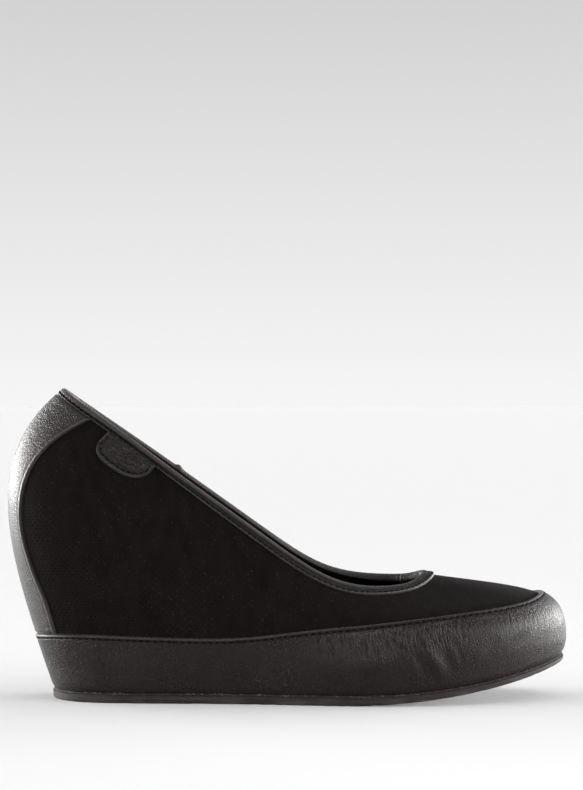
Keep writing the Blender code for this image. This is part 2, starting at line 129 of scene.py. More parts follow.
# How far the trims stand out from the last
BAND_LIFT = CLEARANCE + BAND_THICKNESS
BINDING_LIFT = CLEARANCE + BINDING_THICKNESS
STRIP_LIFT = CLEARANCE + STRIP_THICKNESS
TAB_LIFT = CLEARANCE + TAB_THICKNESS

# A rib's share below its widest line, the reach of its handles at the foot and at that line, and the height
# over which pieces are fitted to the sole
LOWER_SPAN = 0.4
FOOT_PULL = 0.33
WIDE_PULL = 0.30
FOOT_BLEND = 0.003

# How finely the last is charted, and how finely pieces are cut from it
RIB_SAMPLES = 160
CHART_RIBS = 1440
CHART_ROWS = 200
STEP = 1e-4
ROUND = 900
SOLE_ROUND = 720
LINING_ROUND = 360
FOOTBED_ROUND = 240
SHARP_ANGLE = math.radians(50)

# Round the shoe from the back, along the outer side to the toe and home along the inner side. x follows
# LENGTH and y the width of the row's part. wide is the line where the rib is widest, rise is the opening's
# height, lean and crown are the rib's angles from upright, shoulder and roof say how full it is, and band is
# how high the leather band's edge lies.
Station = namedtuple("Station", "part base_x base_y wide_x wide_y wide_up top_x top_y rise lean crown "
                                "shoulder roof band")
STATIONS = [
    Station("rear", -.412, 0, -.495, 0, .630, -.399, 0, 1, 19, 50, .50, .30, .181),
    Station("rear", -.382, -.303, -.460, -.341, .615, -.377, -.230, .950, 16, 40, .45, .33, .196),
    Station("rear", -.310, -.434, -.358, -.500, .555, -.304, -.369, .797, 8, 18, .40, .33, .218),
    Station("rear", -.192, -.475, -.200, -.533, .435, -.188, -.434, .540, 7, 14, .40, .33, .257),
    Station("rear", -.058, -.525, -.054, -.570, .320, -.050, -.467, .239, 9, 16, .40, .33, .360),
    Station("fore", .092, -.456, .100, -.485, .330, .079, -.337, -.009, 12, 30, .55, .40, .595),
    Station("fore", .242, -.462, .250, -.488, .355, .175, -.254, -.058, 12, 55, .75, .55, .705),
    Station("fore", .384, -.343, .388, -.367, .325, .221, -.148, -.039, 10, 72, .80, .66, .716),
    Station("fore", .460, -.148, .467, -.160, .250, .239, -.053, -.011, 8, 80, .80, .74, .721),
    Station("fore", .488, .059, .494, .059, .200, .244, .036, 0, 8, 82, .80, .74, .746),
    Station("fore", .465, .260, .471, .272, .240, .239, .124, -.004, 8, 80, .80, .74, .716),
    Station("fore", .393, .420, .400, .438, .305, .221, .213, -.022, 10, 72, .80, .66, .698),
    Station("fore", .258, .479, .267, .499, .330, .175, .314, -.032, 12, 55, .75, .55, .680),
    Station("fore", .108, .438, .117, .479, .340, .079, .361, .009, 12, 30, .55, .40, .589),
    Station("rear", -.058, .484, -.054, .541, .350, -.050, .475, .240, 12, 16, .40, .33, .360),
    Station("rear", -.192, .451, -.200, .508, .435, -.188, .434, .540, 9, 14, .40, .33, .257),
    Station("rear", -.310, .426, -.358, .495, .560, -.304, .369, .787, 8, 18, .40, .33, .218),
    Station("rear", -.382, .303, -.460, .341, .615, -.377, .230, .945, 16, 40, .45, .33, .196),
]
TIP_STATION = 9

# The wedge's thickness along the shoe, as shares of the heel's height over the platform and of PLATFORM
Core = namedtuple("Core", "x heel platform")
CORES = [
    Core(-.50, 1.00, 1.00), Core(-.40, .99, 1.00), Core(-.30, .93, 1.00), Core(-.20, .77, 1.00),
    Core(-.10, .50, 1.00), Core(.00, .22, 1.00), Core(.08, .06, 1.00), Core(.15, .00, .99),
    Core(.25, .00, .88), Core(.35, .00, .66), Core(.45, .00, .42), Core(.50, .00, .30),
]

# The heel strip's half width, as a share of STRIP_HALF_WIDTH, from the band (0) to the binding (1)
Flare = namedtuple("Flare", "up width")
FLARES = [
    Flare(.00, 1.17), Flare(.15, 1.20), Flare(.30, 1.07), Flare(.45, .97),
    Flare(.60, 1.01), Flare(.72, 1.09), Flare(.86, 1.23), Flare(1.0, 1.40),
]

# Creases of the band. side is -1 on the outer side and 1 on the inner one; x, z, length and width are shares
# of LENGTH, lean is the angle from upright with the foot of the crease towards the toe, and depth is a share
# of BAND_THICKNESS, below 0 for a ridge.
Crease = namedtuple("Crease", "side x z lean length width depth")
CREASES = [
    Crease(-1, .252, .080, 31, .095, .0130, -.62),
    Crease(-1, .226, .082, 29, .085, .0095, .39),
    Crease(-1, .276, .083, 27, .080, .0110, .33),
    Crease(-1, .296, .090, 24, .055, .0060, .21),
    Crease(-1, .060, .097, 12, .040, .0038, .15),
    Crease(-1, .082, .094, 10, .050, .0042, .23),
    Crease(-1, .101, .101, 12, .044, .0036, .21),
    Crease(-1, .118, .092, 14, .056, .0044, .29),
    Crease(-1, .136, .103, 13, .046, .0036, .21),
    Crease(-1, .152, .095, 15, .052, .0044, .27),
    Crease(-1, .171, .106, 17, .044, .0038, .21),
    Crease(-1, .190, .098, 20, .060, .0048, .27),
    Crease(-1, .207, .112, 24, .040, .0038, .19),
    Crease(-1, .352, .100, -18, .060, .0180, .21),
    Crease(-1, .404, .112, -32, .050, .0110, .19),
    Crease(-1, -.060, .060, 8, .075, .0260, .21),
    Crease(-1, -.310, .070, -6, .060, .0200, .17),
    Crease(1, .140, .090, 22, .070, .0100, .30),
    Crease(1, .166, .088, 24, .080, .0120, -.33),
    Crease(1, .192, .090, 26, .070, .0090, .38),
    Crease(1, .090, .095, 10, .045, .0045, .21),
    Crease(1, .230, .100, 20, .050, .0055, .23),
    Crease(1, .330, .100, -16, .060, .0160, .21),
    Crease(1, -.100, .060, 6, .075, .0240, .21),
]


def smooth_value(knots, values, at):
    """Smooth curve through the values, with slopes taken from the neighbours on each side."""
    knots = np.asarray(knots, dtype=float)
    values = np.asarray(values, dtype=float)
    slopes = np.gradient(values, knots)
    at = np.clip(at, knots[0], knots[-1])
    k = np.clip(np.searchsorted(knots, at, side="right") - 1, 0, len(knots) - 2)
    width = knots[k + 1] - knots[k]
    t = (at - knots[k]) / width
    rise = values[k + 1] - values[k]
    bend = slopes[k] * width * t * (1 - t) ** 2 - slopes[k + 1] * width * t * t * (1 - t)
    return values[k] + rise * t * t * (3 - 2 * t) + bend


def closed_spline(knots, values, at):
    """Smooth closed curve through the rows of values; the last knot is the first row again."""
    count = len(values)
    gaps = np.diff(knots)
    system = np.zeros((count, count))
    target = np.zeros_like(values)
    for i in range(count):
        before, after = gaps[i - 1], gaps[i]
        follower = (i + 1) % count
        system[i, i - 1] += before
        system[i, i] += 2 * (before + after)
        system[i, follower] += after
        target[i] = 6 * ((values[follower] - values[i]) / after - (values[i] - values[i - 1]) / before)
    curvature = np.linalg.solve(system, target)
    at = np.mod(at, 1.0)
    k = np.clip(np.searchsorted(knots, at, side="right") - 1, 0, count - 1)
    follower = (k + 1) % count
    gap = gaps[k][:, None]
    a = (knots[k + 1] - at)[:, None] / gap
    b = 1 - a
    bend = (a ** 3 - a) * curvature[k] + (b ** 3 - b) * curvature[follower]
    return a * values[k] + b * values[follower] + bend * gap ** 2 / 6


def unit(vectors):
    return vectors / np.linalg.norm(vectors, axis=-1, keepdims=True)


def run_along(rows):
    """Distance along each row of points, from the row's first point."""
    steps = np.linalg.norm(np.diff(rows, axis=1), axis=2)
    return np.concatenate([np.zeros((len(rows), 1)), np.cumsum(steps, axis=1)], axis=1)


def fade(value, start, stop):
    """0 at start, 1 at stop and smooth between them; start may be the larger."""
    t = np.clip((value - start) / (stop - start), 0.0, 1.0)
    return t * t * (3 - 2 * t)


def bump(value, middle, width):
    """A smooth hump of height 1 at the middle."""
    return np.exp(-((value - middle) / width) ** 2)


def toe_spring(x):
    """Height of the sole's underside: flat to ROCKER_START, then rolling up to the toe."""
    return TOE_SPRING * (np.maximum(0.0, x - ROCKER_START) / (LENGTH / 2 - ROCKER_START)) ** 2


def sole_top(x):
    share = np.clip((x - ROCKER_START) / (LENGTH / 2 - ROCKER_START), 0.0, 1.0)
    return toe_spring(x) + SOLE_THICKNESS + (SOLE_TOE_THICKNESS - SOLE_THICKNESS) * share


def insole_under(x):
    """Height of the footbed's underside, just over the wedge."""
    knots = [core.x * LENGTH for core in CORES]
    heel = smooth_value(knots, [core.heel for core in CORES], x)
    platform = smooth_value(knots, [core.platform for core in CORES], x)
    return sole_top(x) + 2 * CLEARANCE + PLATFORM * platform + (HEEL_WEDGE - PLATFORM) * heel


def insole_top(x):
    return insole_under(x) + INSOLE_THICKNESS


def station_rows():
    """The station table in metres and radians, one array row a station."""
    lift = CLEARANCE + BINDING_THICKNESS
    rows = []
    for s in STATIONS:
        width = WIDTHS[s.part]
        top_z = THROAT_HEIGHT - lift + (BACK_HEIGHT - THROAT_HEIGHT) * s.rise
        rows.append([
            s.base_x * LENGTH, s.base_y * width,
            s.wide_x * LENGTH, s.wide_y * width, s.wide_up,
            s.top_x * LENGTH, s.top_y * width, top_z,
            math.radians(s.lean), math.radians(s.crown), s.shoulder, s.roof, s.band,
        ])
    return np.array(rows)


ROWS = station_rows()
CHORDS = np.linalg.norm(np.roll(ROWS[:, 2:4], -1, axis=0) - ROWS[:, 2:4], axis=1)
KNOTS = np.concatenate([[0.0], np.cumsum(CHORDS)]) / CHORDS.sum()
TOE_PLACE = KNOTS[TIP_STATION]


def rib_controls(around):
    """Control points of each rib: two cubic spans, foot to widest line and widest line to opening."""
    row = closed_spline(KNOTS, ROWS, around)
    ahead = closed_spline(KNOTS, ROWS, around + STEP)[:, 2:4]
    behind = closed_spline(KNOTS, ROWS, around - STEP)[:, 2:4]
    tangent = unit(ahead - behind)
    up = np.array([0.0, 0.0, 1.0])
    out = np.column_stack([tangent[:, 1], -tangent[:, 0], np.zeros(len(row))])
    foot_z = sole_top(row[:, 0]) + CLEARANCE
    foot = np.column_stack([row[:, 0:2], foot_z])
    top = row[:, 5:8]
    wide_z = foot_z + row[:, 4] * (top[:, 2] - foot_z)
    wide = np.column_stack([row[:, 2:4], wide_z])
    lean, crown = row[:, 8:9], row[:, 9:10]
    shoulder, roof = row[:, 10:11], row[:, 11:12]
    rise = wide[:, 2:3] - foot[:, 2:3]
    climb = top[:, 2:3] - wide[:, 2:3]
    through = top - foot
    through = through - np.sum(through * out, axis=1, keepdims=True) * out
    through = through / through[:, 2:3]
    inward = top - wide
    reach = np.linalg.norm(inward, axis=1, keepdims=True)
    inward = unit(inward * np.array([1.0, 1.0, 0.0]))
    foot_pull = foot + FOOT_PULL * rise * (up + np.tan(lean) * out)
    under_wide = wide - WIDE_PULL * rise * through
    over_wide = wide + shoulder * climb * through
    top_pull = top - roof * reach * (np.sin(crown) * inward + np.cos(crown) * up)
    return (foot, foot_pull, under_wide, wide), (wide, over_wide, top_pull, top)


def surface(around, height):
    """Points of the upper's outer face; both values are flat arrays of one length."""
    lower, upper = rib_controls(around)
    low = height < LOWER_SPAN
    t = np.where(low, height / LOWER_SPAN, (height - LOWER_SPAN) / (1 - LOWER_SPAN))[:, None]
    a, b, c, d = [np.where(low[:, None], p, q) for p, q in zip(lower, upper)]
    return (1 - t) ** 3 * a + 3 * t * (1 - t) ** 2 * b + 3 * t * t * (1 - t) * c + t ** 3 * d


def surface_normal(around, height):
    along = surface(around + STEP, height) - surface(around - STEP, height)
    above = np.minimum(height + STEP, 1.0)
    below = np.maximum(height - STEP, 0.0)
    return unit(np.cross(along, surface(around, above) - surface(around, below)))


def chart_last():
    """Rib heights at even steps of run, each rib's length, and the run of the band's edge on it."""
    places = np.arange(CHART_RIBS) / CHART_RIBS
    heights = np.linspace(0.0, 1.0, RIB_SAMPLES)
    points = surface(np.repeat(places, RIB_SAMPLES), np.tile(heights, CHART_RIBS))
    points = points.reshape(CHART_RIBS, RIB_SAMPLES, 3)
    run = run_along(points)
    z = points[:, :, 2]
    share = closed_spline(KNOTS, ROWS, places)[:, 12]
    band_z = z[:, 0] + share * (z[:, -1] - z[:, 0])
    band = np.array([np.interp(band_z[i], z[i], run[i]) for i in range(CHART_RIBS)])
    even = np.linspace(0.0, 1.0, CHART_ROWS)
    chart = np.array([np.interp(even * run[i, -1], run[i], heights) for i in range(CHART_RIBS)])
    return chart, run[:, -1], band


CHART, RIB_LENGTHS, BAND_RUNS = chart_last()


def round_value(values, places):
    """A value kept once a charted rib, read at any places."""
    at = np.mod(places, 1.0) * CHART_RIBS
    low = np.floor(at).astype(int) % CHART_RIBS
    share = at - np.floor(at)
    return values[low] * (1 - share) + values[(low + 1) % CHART_RIBS] * share


def full_run(places):
    return round_value(RIB_LENGTHS, places)


def band_run(places):
    return round_value(BAND_RUNS, places)


def height_at(places, runs):
    """Rib heights at places and runs, from the chart."""
    at = np.mod(places, 1.0) * CHART_RIBS
    low = np.floor(at).astype(int) % CHART_RIBS
    high = (low + 1) % CHART_RIBS
    share = at - np.floor(at)
    up = np.clip(runs / full_run(places), 0.0, 1.0) * (CHART_ROWS - 1)
    row = np.minimum(np.floor(up).astype(int), CHART_ROWS - 2)
    t = up - row
    here = CHART[low, row] * (1 - t) + CHART[low, row + 1] * t
    there = CHART[high, row] * (1 - t) + CHART[high, row + 1] * t
    return here * (1 - share) + there * share


def skin_and_normals(places, runs):
    """The last's points and outward normals at arrays of places and runs of one shape."""
    places, runs = np.broadcast_arrays(places, runs)
    heights = height_at(places.ravel(), runs.ravel())
    skin = surface(places.ravel(), heights)
    normals = surface_normal(places.ravel(), heights)
    return skin.reshape(*places.shape, 3), normals.reshape(*places.shape, 3)


def lay(places, runs, lift):
    """Points lying lift out from the last; near the sole they move level, so that their foot stays on it."""
    skin, normals = skin_and_normals(places, runs)
    lift = np.broadcast_to(lift, skin.shape[:2])[..., None]
    points = skin + lift * normals
    flat = normals[..., :2]
    level = skin[..., :2] + lift * flat / np.sum(flat * flat, axis=-1, keepdims=True)
    over_sole = skin[..., 2] - sole_top(skin[..., 0])
    level = np.concatenate([level, (sole_top(level[..., 0]) + over_sole)[..., None]], axis=-1)
    near_foot = fade(np.broadcast_to(runs, skin.shape[:2]), FOOT_BLEND, 0.0)[..., None]
    return points * (1 - near_foot) + level * near_foot


def binding_depth(places):
    """How far down the binding reaches; it narrows towards the back."""
    from_back = np.abs(np.mod(places + 0.5, 1.0) - 0.5)
    return BINDING_DEPTH * (1 - 0.36 * fade(from_back, 0.26, 0.08))


def round_places(count=ROUND):
    """Places of the columns of a piece that goes all the way round."""
    return np.arange(count) / count


def length_along(points, closed):
    """Distance along a line of points, and its whole length."""
    steps = np.linalg.norm(np.diff(points, axis=0), axis=1)
    run = np.concatenate([[0.0], np.cumsum(steps)])
    if not closed:
        return run, run[-1]
    return run, run[-1] + float(np.linalg.norm(points[0] - points[-1]))


def rounded(distance, radius):
    """Profile of a folded edge: 0 at the edge and 1 from the radius inwards."""
    t = np.clip(distance / radius, 0.0, 1.0)
    return np.sqrt(1 - (1 - t) ** 2)


def fold_edge(lift, distance, radius, least):
    """A trim's lift brought down round its folded edge, to a least share of it at the edge itself."""
    return SEAT + (lift - SEAT) * np.maximum(rounded(distance, radius), least)


def crease_depth(side, x, z):
    """Depth of the listed creases at points of the band, in metres."""
    depth = np.zeros_like(x)
    for crease in CREASES:
        lean = math.radians(crease.lean)
        dx = x / LENGTH - crease.x
        dz = z / LENGTH - crease.z
        along = (dx * math.sin(lean) - dz * math.cos(lean)) / (crease.length / 2)
        across = (dx * math.cos(lean) + dz * math.sin(lean)) / crease.width
        taper = np.clip(1 - along ** 2, 0.0, 1.0) ** 2
        trough = (1 - 0.7 * across ** 2) * np.exp(-across ** 2)
        depth += np.where(side == crease.side, crease.depth * trough * taper, 0.0)
    return depth * BAND_THICKNESS


def grid_faces(rows, columns, wrap_rows, wrap_columns):
    """Quads between neighbouring points of a grid kept row by row."""
    r, c = np.meshgrid(
        np.arange(rows if wrap_rows else rows - 1),
        np.arange(columns if wrap_columns else columns - 1),
        indexing="ij",
    )
    above, after = (r + 1) % rows, (c + 1) % columns
    quads = [r * columns + c, r * columns + after, above * columns + after, above * columns + c]
    return np.stack(quads, axis=-1).reshape(-1, 4)


def add_object(name, data):
    """Put a mesh, light or camera in the scene, as an object at the origin."""
    added = bpy.data.objects.new(name, data)
    bpy.context.scene.collection.objects.link(added)
    return added


def keep_values(mesh, values, domain="POINT"):
    """Keep numbers at a mesh's points or faces, for the materials and the trees to read."""
    for title, numbers in values.items():
        attribute = mesh.attributes.new(title, "FLOAT", domain)
        attribute.data.foreach_set("value", np.asarray(numbers, dtype=np.float32).ravel())


def make_mesh(name, points, faces, finishes, values=None):
    """A smooth mesh object; values are numbers kept at its points."""
    mesh = bpy.data.meshes.new(name)
    mesh.from_pydata(points.reshape(-1, 3).tolist(), [], [list(map(int, face)) for face in faces])
    keep_values(mesh, values or {})
    for finish in finishes:
        mesh.materials.append(finish)
    mesh.shade_smooth()
    mesh.set_sharp_from_angle(angle=SHARP_ANGLE)
    return add_object(name, mesh)


def make_tube(name, sections, finish, values=None):
    """A ring-shaped piece: sections[k, column] is point k of a closed section on that column.

    Each array of values is for the first points of the sections, and the rest keep 0.
    """
    faces = grid_faces(*sections.shape[:2], True, True)
    kept = {}
    for title, numbers in (values or {}).items():
        kept[title] = np.zeros(sections.shape[:2])
        kept[title][:len(numbers)] = numbers
    return make_mesh(name, sections, faces, [finish], kept)


def make_slab(name, outer, inner, finish, kept):
    """A closed slab between two open grids of one size."""
    rows, columns = outer.shape[:2]
    size = rows * columns
    quads = grid_faces(rows, columns, False, False)
    border = list(range(columns))
    border += [r * columns + columns - 1 for r in range(1, rows)]
    border += [(rows - 1) * columns + c for c in range(columns - 2, -1, -1)]
    border += [r * columns for r in range(rows - 2, 0, -1)]
    rim = [(there, here, size + here, size + there) for here, there in zip(border, border[1:] + border[:1])]
    faces = np.concatenate([quads, quads[:, ::-1] + size, np.array(rim)])
    points = np.concatenate([outer.reshape(-1, 3), inner.reshape(-1, 3)])
    values = {title: np.concatenate([numbers.ravel(), numbers.ravel()]) for title, numbers in kept.items()}
    return make_mesh(name, points, faces, [finish], values)


def dress(piece, slot, *nodes):
    """Fix a finished piece to the shoe and hide the solids it stands for; the slot is not used."""
    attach(piece, "root")
    if nodes:
        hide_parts(*nodes)


class Wire:
    """A node's output. Arithmetic with it adds Math nodes, and wire["name"] is another output of its node."""

    def __init__(self, graph, socket):
        self.graph = graph
        self.socket = socket

    def __getitem__(self, name):
        return Wire(self.graph, self.socket.node.outputs[name])

    def math(self, operation, first, second):
        return self.graph.node("ShaderNodeMath", {"operation": operation}, {0: first, 1: second})

    def __add__(self, other):
        return self.math("ADD", self, other)

    def __radd__(self, other):
        return self.math("ADD", other, self)

    def __sub__(self, other):
        return self.math("SUBTRACT", self, other)

    def __rsub__(self, other):
        return self.math("SUBTRACT", other, self)

    def __mul__(self, other):
        return self.math("MULTIPLY", self, other)

    def __rmul__(self, other):
        return self.math("MULTIPLY", other, self)

    def over(self, start, stop):
        """0 at start and 1 at stop, smooth between them."""
        sockets = {"Value": self, "From Min": start, "From Max": stop, "To Min": 0.0, "To Max": 1.0}
        return self.graph.node("ShaderNodeMapRange", {"interpolation_type": "SMOOTHSTEP"}, sockets)


class Graph:
    """A node tree under construction."""

    def __init__(self, tree):
        self.tree = tree

    def node(self, kind, settings=None, sockets=None):
        """Add a node: its settings, then the values or links of its sockets; gives its first output."""
        node = self.tree.nodes.new(kind)
        for name, value in (settings or {}).items():
            if name == "stops":
                self.set_stops(node.color_ramp, value)
            else:
                setattr(node, name, value)
        for key, value in (sockets or {}).items():
            self.join(node, key, value)
        shown = [socket for socket in node.outputs if socket.enabled]
        return Wire(self, shown[0]) if shown else None

    def join(self, node, key, value):
        """Give a socket, named or numbered among those in use, its value or its link."""
        shown = [socket for socket in node.inputs if socket.enabled]
        socket = shown[key] if isinstance(key, int) else next(s for s in shown if s.name == key)
        if isinstance(value, Wire):
            self.tree.links.new(value.socket, socket)
        else:
            socket.default_value = value

    def set_stops(self, ramp, stops):
        while len(ramp.elements) < len(stops):
            ramp.elements.new(1.0)
        for element, (position, colour) in zip(ramp.elements, stops):
            element.position = position
            element.color = colour

    def named(self, title):
        """A number kept on the mesh, as a Geometry Nodes tree reads it."""
        return self.node("GeometryNodeInputNamedAttribute", {"data_type": "FLOAT"}, {"Name": title})

    def mix(self, factor, first, second):
        """Blend of two colours."""
        return self.node("ShaderNodeMix", {"data_type": "RGBA"}, {"Factor": factor, "A": first, "B": second})


class Finish(Graph):
    """A material with a Principled shader; wear, painted highlight and shade, grain and gloss are added to it
    by the finish functions.
    """

    def __init__(self, name, **constants):
        self.material = bpy.data.materials.new(name)
        self.material.use_nodes = True
        super().__init__(self.material.node_tree)
        self.shader = self.tree.nodes["Principled BSDF"]
        for key, value in constants.items():
            self.shader.inputs[key.replace("_", " ")].default_value = value
        self.place = self.node("ShaderNodeTexCoord")["Object"]

    def noise(self, size, detail=2.0, place=None):
        """Noise from 0 to 1 with features of about the given size."""
        sockets = {"Vector": place or self.place, "Scale": 1 / size, "Detail": detail}
        return self.node("ShaderNodeTexNoise", None, sockets)

    def cells(self, size, feature, place=None):
        """Cell pattern: distance from the cell's middle, or to its edge, as a share of its size."""
        sockets = {"Vector": place or self.place, "Scale": 1 / size}
        return self.node("ShaderNodeTexVoronoi", {"feature": feature}, sockets)

    def wander(self, size, amount):
        """The place pushed about by noise, so that cells aren't too regular."""
        push = self.node("ShaderNodeTexNoise", None, {"Vector": self.place, "Scale": 1 / size})["Color"]
        push = self.node("ShaderNodeVectorMath", {"operation": "SUBTRACT"}, {0: push, 1: (0.5, 0.5, 0.5)})
        push = self.node("ShaderNodeVectorMath", {"operation": "SCALE"}, {0: push, "Scale": amount})
        return self.node("ShaderNodeVectorMath", {"operation": "ADD"}, {0: self.place, 1: push})

    def turned(self, lean):
        """The place turned about the crosswise axis."""
        sockets = {"Vector": self.place, "Angle": lean}
        return self.node("ShaderNodeVectorRotate", {"rotation_type": "Y_AXIS"}, sockets)

    def stretched(self, x, y, z, place=None):
        """The place scaled along each axis, for streaks."""
        sockets = {0: place or self.place, 1: (x, y, z)}
        return self.node("ShaderNodeVectorMath", {"operation": "MULTIPLY"}, sockets)

    def kept(self, title):
        """A number kept at the mesh's points, as a material reads it."""
        return self.node("ShaderNodeAttribute", {"attribute_name": title})["Fac"]

    def finish(self, colour, roughness, height, depth, strength=1.0):
        """Join colour, roughness and a relief of the given depth to the shader."""
        self.join(self.shader, "Base Color", colour)
        self.join(self.shader, "Roughness", roughness)
        relief = {"Height": height, "Distance": depth, "Strength": strength}
        self.join(self.shader, "Normal", self.node("ShaderNodeBump", None, relief))
        return self.material


# The faint tint of the black finishes' gloss
WARM_GLOSS = (1.0, 0.94, 0.93, 1.0)


def rgba(colour, gain=1.0):
    return (*[channel * gain for channel in colour], 1.0)


def smooth_leather(name, leather, grain_gain=1.0, lean=0.0, streak=(1.3, 1.3, 0.25), gloss=0.17):
    """Black full-grain leather: pebbled grain with painted shade in its crevices, gloss, rubbed edges
    lightened partly as wear and partly as painted highlight, painted shade in the stitch grooves, and fine
    wrinkles where it is pulled.
    """
    f = Finish(name, Specular_IOR_Level=gloss, Coat_Roughness=0.16, Coat_Weight=0.08,
               Specular_Tint=WARM_GLOSS)
    place = f.wander(2.5 * leather.grain, 0.6 * leather.grain)
    pebbles = f.cells(leather.grain, "DISTANCE_TO_EDGE", place).over(0.0, 0.30)
    small = f.cells(leather.grain * 0.5, "DISTANCE_TO_EDGE", place).over(0.0, 0.30)
    pores = f.noise(0.3 * MM, 3.0)
    wrinkles = f.noise(1.1 * MM, 2.0, f.stretched(*streak, f.turned(lean))).over(0.38, 0.62)
    pull = f.kept("pull")
    patches = f.noise(9 * MM, 2.0)
    broad = f.noise(28 * MM, 2.0)
    edge = f.kept("edge")
    seam = f.kept("seam")
    colour = f.mix(patches.over(0.3, 0.75), rgba(leather.colour, 0.75), rgba(leather.colour, 1.25))
    # The grain's crevices are darkened towards a third of the colour: painted shade.
    colour = f.mix((1 - pebbles) * 0.6, colour, rgba(leather.colour, 0.35))
    # Edges, and wrinkles where the leather is pulled, are lightened: partly rubbed wear, partly a painted
    # highlight on raised and rolled edges.
    colour = f.mix(edge * (0.45 + 0.5 * patches) + 0.30 * wrinkles * pull, colour, rgba(leather.wear_and_highlight_colour))
    # Painted shade in the stitch grooves and along the trims' borders.
    colour = f.mix(seam * 0.9, colour, rgba(leather.colour, 0.1))
    roughness = leather.roughness + 0.10 * broad + 0.14 * (1 - pebbles) - 0.06 * edge + 0.35 * seam
    height = pebbles * 0.6 + small * 0.30 + pores * 0.10 + wrinkles * pull * 3.4
    return f.finish(colour, roughness, height, 0.00022 * grain_gain)


def napped_suede(suede):
    """Warm black suede: soft nap with brushed patches and tiny pale fibre ends."""
    f = Finish("napped_suede", Specular_IOR_Level=0.07, Sheen_Weight=0.009, Sheen_Roughness=0.5)
    fibres = f.noise(0.22 * MM, 3.0)
    brushed = f.noise(5 * MM, 3.0, f.stretched(1.0, 1.0, 0.45))
    patches = f.noise(22 * MM, 2.0)
    specks = 1 - f.cells(2.1 * MM, "F1", f.wander(4 * MM, 1.6 * MM)).over(0.08, 0.17)
    colour = f.mix(brushed.over(0.3, 0.7), rgba(suede.colour, 0.72), rgba(suede.colour, 1.25))
    colour = f.mix(patches.over(0.35, 0.7) * 0.4, colour, rgba(suede.colour, 1.3))
    colour = f.mix(fibres.over(0.55, 0.8) * 0.30, colour, rgba(suede.colour, 2.0))
    colour = f.mix(specks * 0.75, colour, rgba(suede.speck_colour))
    roughness = 0.93 - 0.08 * brushed
    return f.finish(colour, roughness, fibres * 0.8 + brushed * 0.2, 0.00012, 0.8)


def pinhole_shade(suede):
    """Painted shade inside a pinhole: its walls and floor darker than the suede."""
    f = Finish("pinhole_shade", Specular_IOR_Level=0.1)
    fluff = f.noise(0.15 * MM)
    colour = f.mix(fluff, rgba(suede.colour, 0.25), rgba(suede.colour, 0.6))
    return f.finish(colour, 0.9 + 0.1 * fluff, fluff, 0.00004)


def lining_leather(name, colour):
    """Dull dark lining with fine pores and scuffs worn by the foot."""
    f = Finish(name, Specular_IOR_Level=0.4)
    pores = f.cells(0.5 * MM, "F1").over(0.1, 0.6)
    scuffs = f.noise(14 * MM, 4.0)
    shade = f.mix(scuffs.over(0.35, 0.75), rgba(colour, 0.7), rgba(colour, 1.5))
    roughness = 0.55 + 0.2 * scuffs
    return f.finish(shade, roughness, pores * 0.6 + f.noise(0.3 * MM) * 0.4, 0.00006)


def sewing_thread(name, colour):
    """Twisted black thread."""
    f = Finish(name, Specular_IOR_Level=0.06)
    twist = f.noise(0.18 * MM, 2.0, f.stretched(1.0, 1.0, 2.0))
    shade = f.mix(twist, rgba(colour, 0.7), rgba(colour, 1.4))
    return f.finish(shade, 0.75 + 0.2 * twist, twist, 0.00005)


def black_rubber(sole):
    """Moulded rubber: dull with fine pitting, a scuffed lower edge and specks of cement along the top,
    painted pale as glints.
    """
    f = Finish("black_rubber", Specular_IOR_Level=0.24, Specular_Tint=WARM_GLOSS)
    pits = f.noise(0.5 * MM, 4.0)
    scuffs = f.noise(3.5 * MM, 4.0, f.stretched(0.35, 0.35, 2.2))
    low = f.kept("low")
    joint = f.kept("edge")
    colour = f.mix(scuffs.over(0.35, 0.75), rgba(sole.colour, 0.75), rgba(sole.colour, 1.35))
    colour = f.mix(low * scuffs.over(0.4, 0.8) * 0.6, colour, rgba(sole.scuff_colour))
    # Specks of dried cement along the joint, painted pale and given low roughness: partly the cement, partly
    # painted glints.
    cement_glint = joint * f.noise(1.1 * MM, 3.0).over(0.56, 0.66)
    colour = f.mix(cement_glint * 0.7, colour, rgba(sole.cement_glint_colour))
    roughness = 0.52 + 0.22 * scuffs - 0.3 * cement_glint
    return f.finish(colour, roughness, pits * 0.6 + scuffs * 0.4, 0.00012)


def moulded_core():
    """Dark foamed core of the wedge, hidden between sole, upper and footbed."""
    f = Finish("moulded_core", Specular_IOR_Level=0.3)
    foam = f.cells(1.2 * MM, "F1")
    tint = f.noise(12 * MM)
    colour = f.mix(tint, (0.024, 0.022, 0.020, 1.0), (0.038, 0.034, 0.031, 1.0))
    return f.finish(colour, 0.75 + 0.15 * tint, foam, 0.0002)


def floor_paper(stage):
    """Matt white background paper, softly lit from below."""
    f = Finish("floor_paper", Specular_IOR_Level=0.1,
               Emission_Color=rgba((stage.glow,) * 3), Emission_Strength=1.0)
    fibres = f.noise(2.0 * MM, 3.0)
    colour = f.mix(fibres * 0.3, rgba(stage.floor_colour), rgba(stage.floor_colour, 0.985))
    return f.finish(colour, 0.85 + 0.1 * fibres, fibres, 0.00005)


def new_tree(name, inputs):
    """A Geometry Nodes tree with a geometry input, the given number inputs and a geometry output."""
    tree = bpy.data.node_groups.new(name, "GeometryNodeTree")
    tree.interface.new_socket("Geometry", in_out="INPUT", socket_type="NodeSocketGeometry")
    for title, kind in inputs:
        tree.interface.new_socket(title, in_out="INPUT", socket_type=kind)
    tree.interface.new_socket("Geometry", in_out="OUTPUT", socket_type="NodeSocketGeometry")
    graph = Graph(tree)
    return graph, graph.node("NodeGroupInput")


def close_tree(graph, geometry, material, selection=None):
    """End a tree: real geometry in place of instances, and its material."""
    real = graph.node("GeometryNodeRealizeInstances", None, {"Geometry": geometry})
    sockets = {"Geometry": real, "Material": material}
    if selection is not None:
        sockets["Selection"] = selection
    done = graph.node("GeometryNodeSetMaterial", None, sockets)
    graph.node("NodeGroupOutput", None, {"Geometry": done})
    return graph.tree


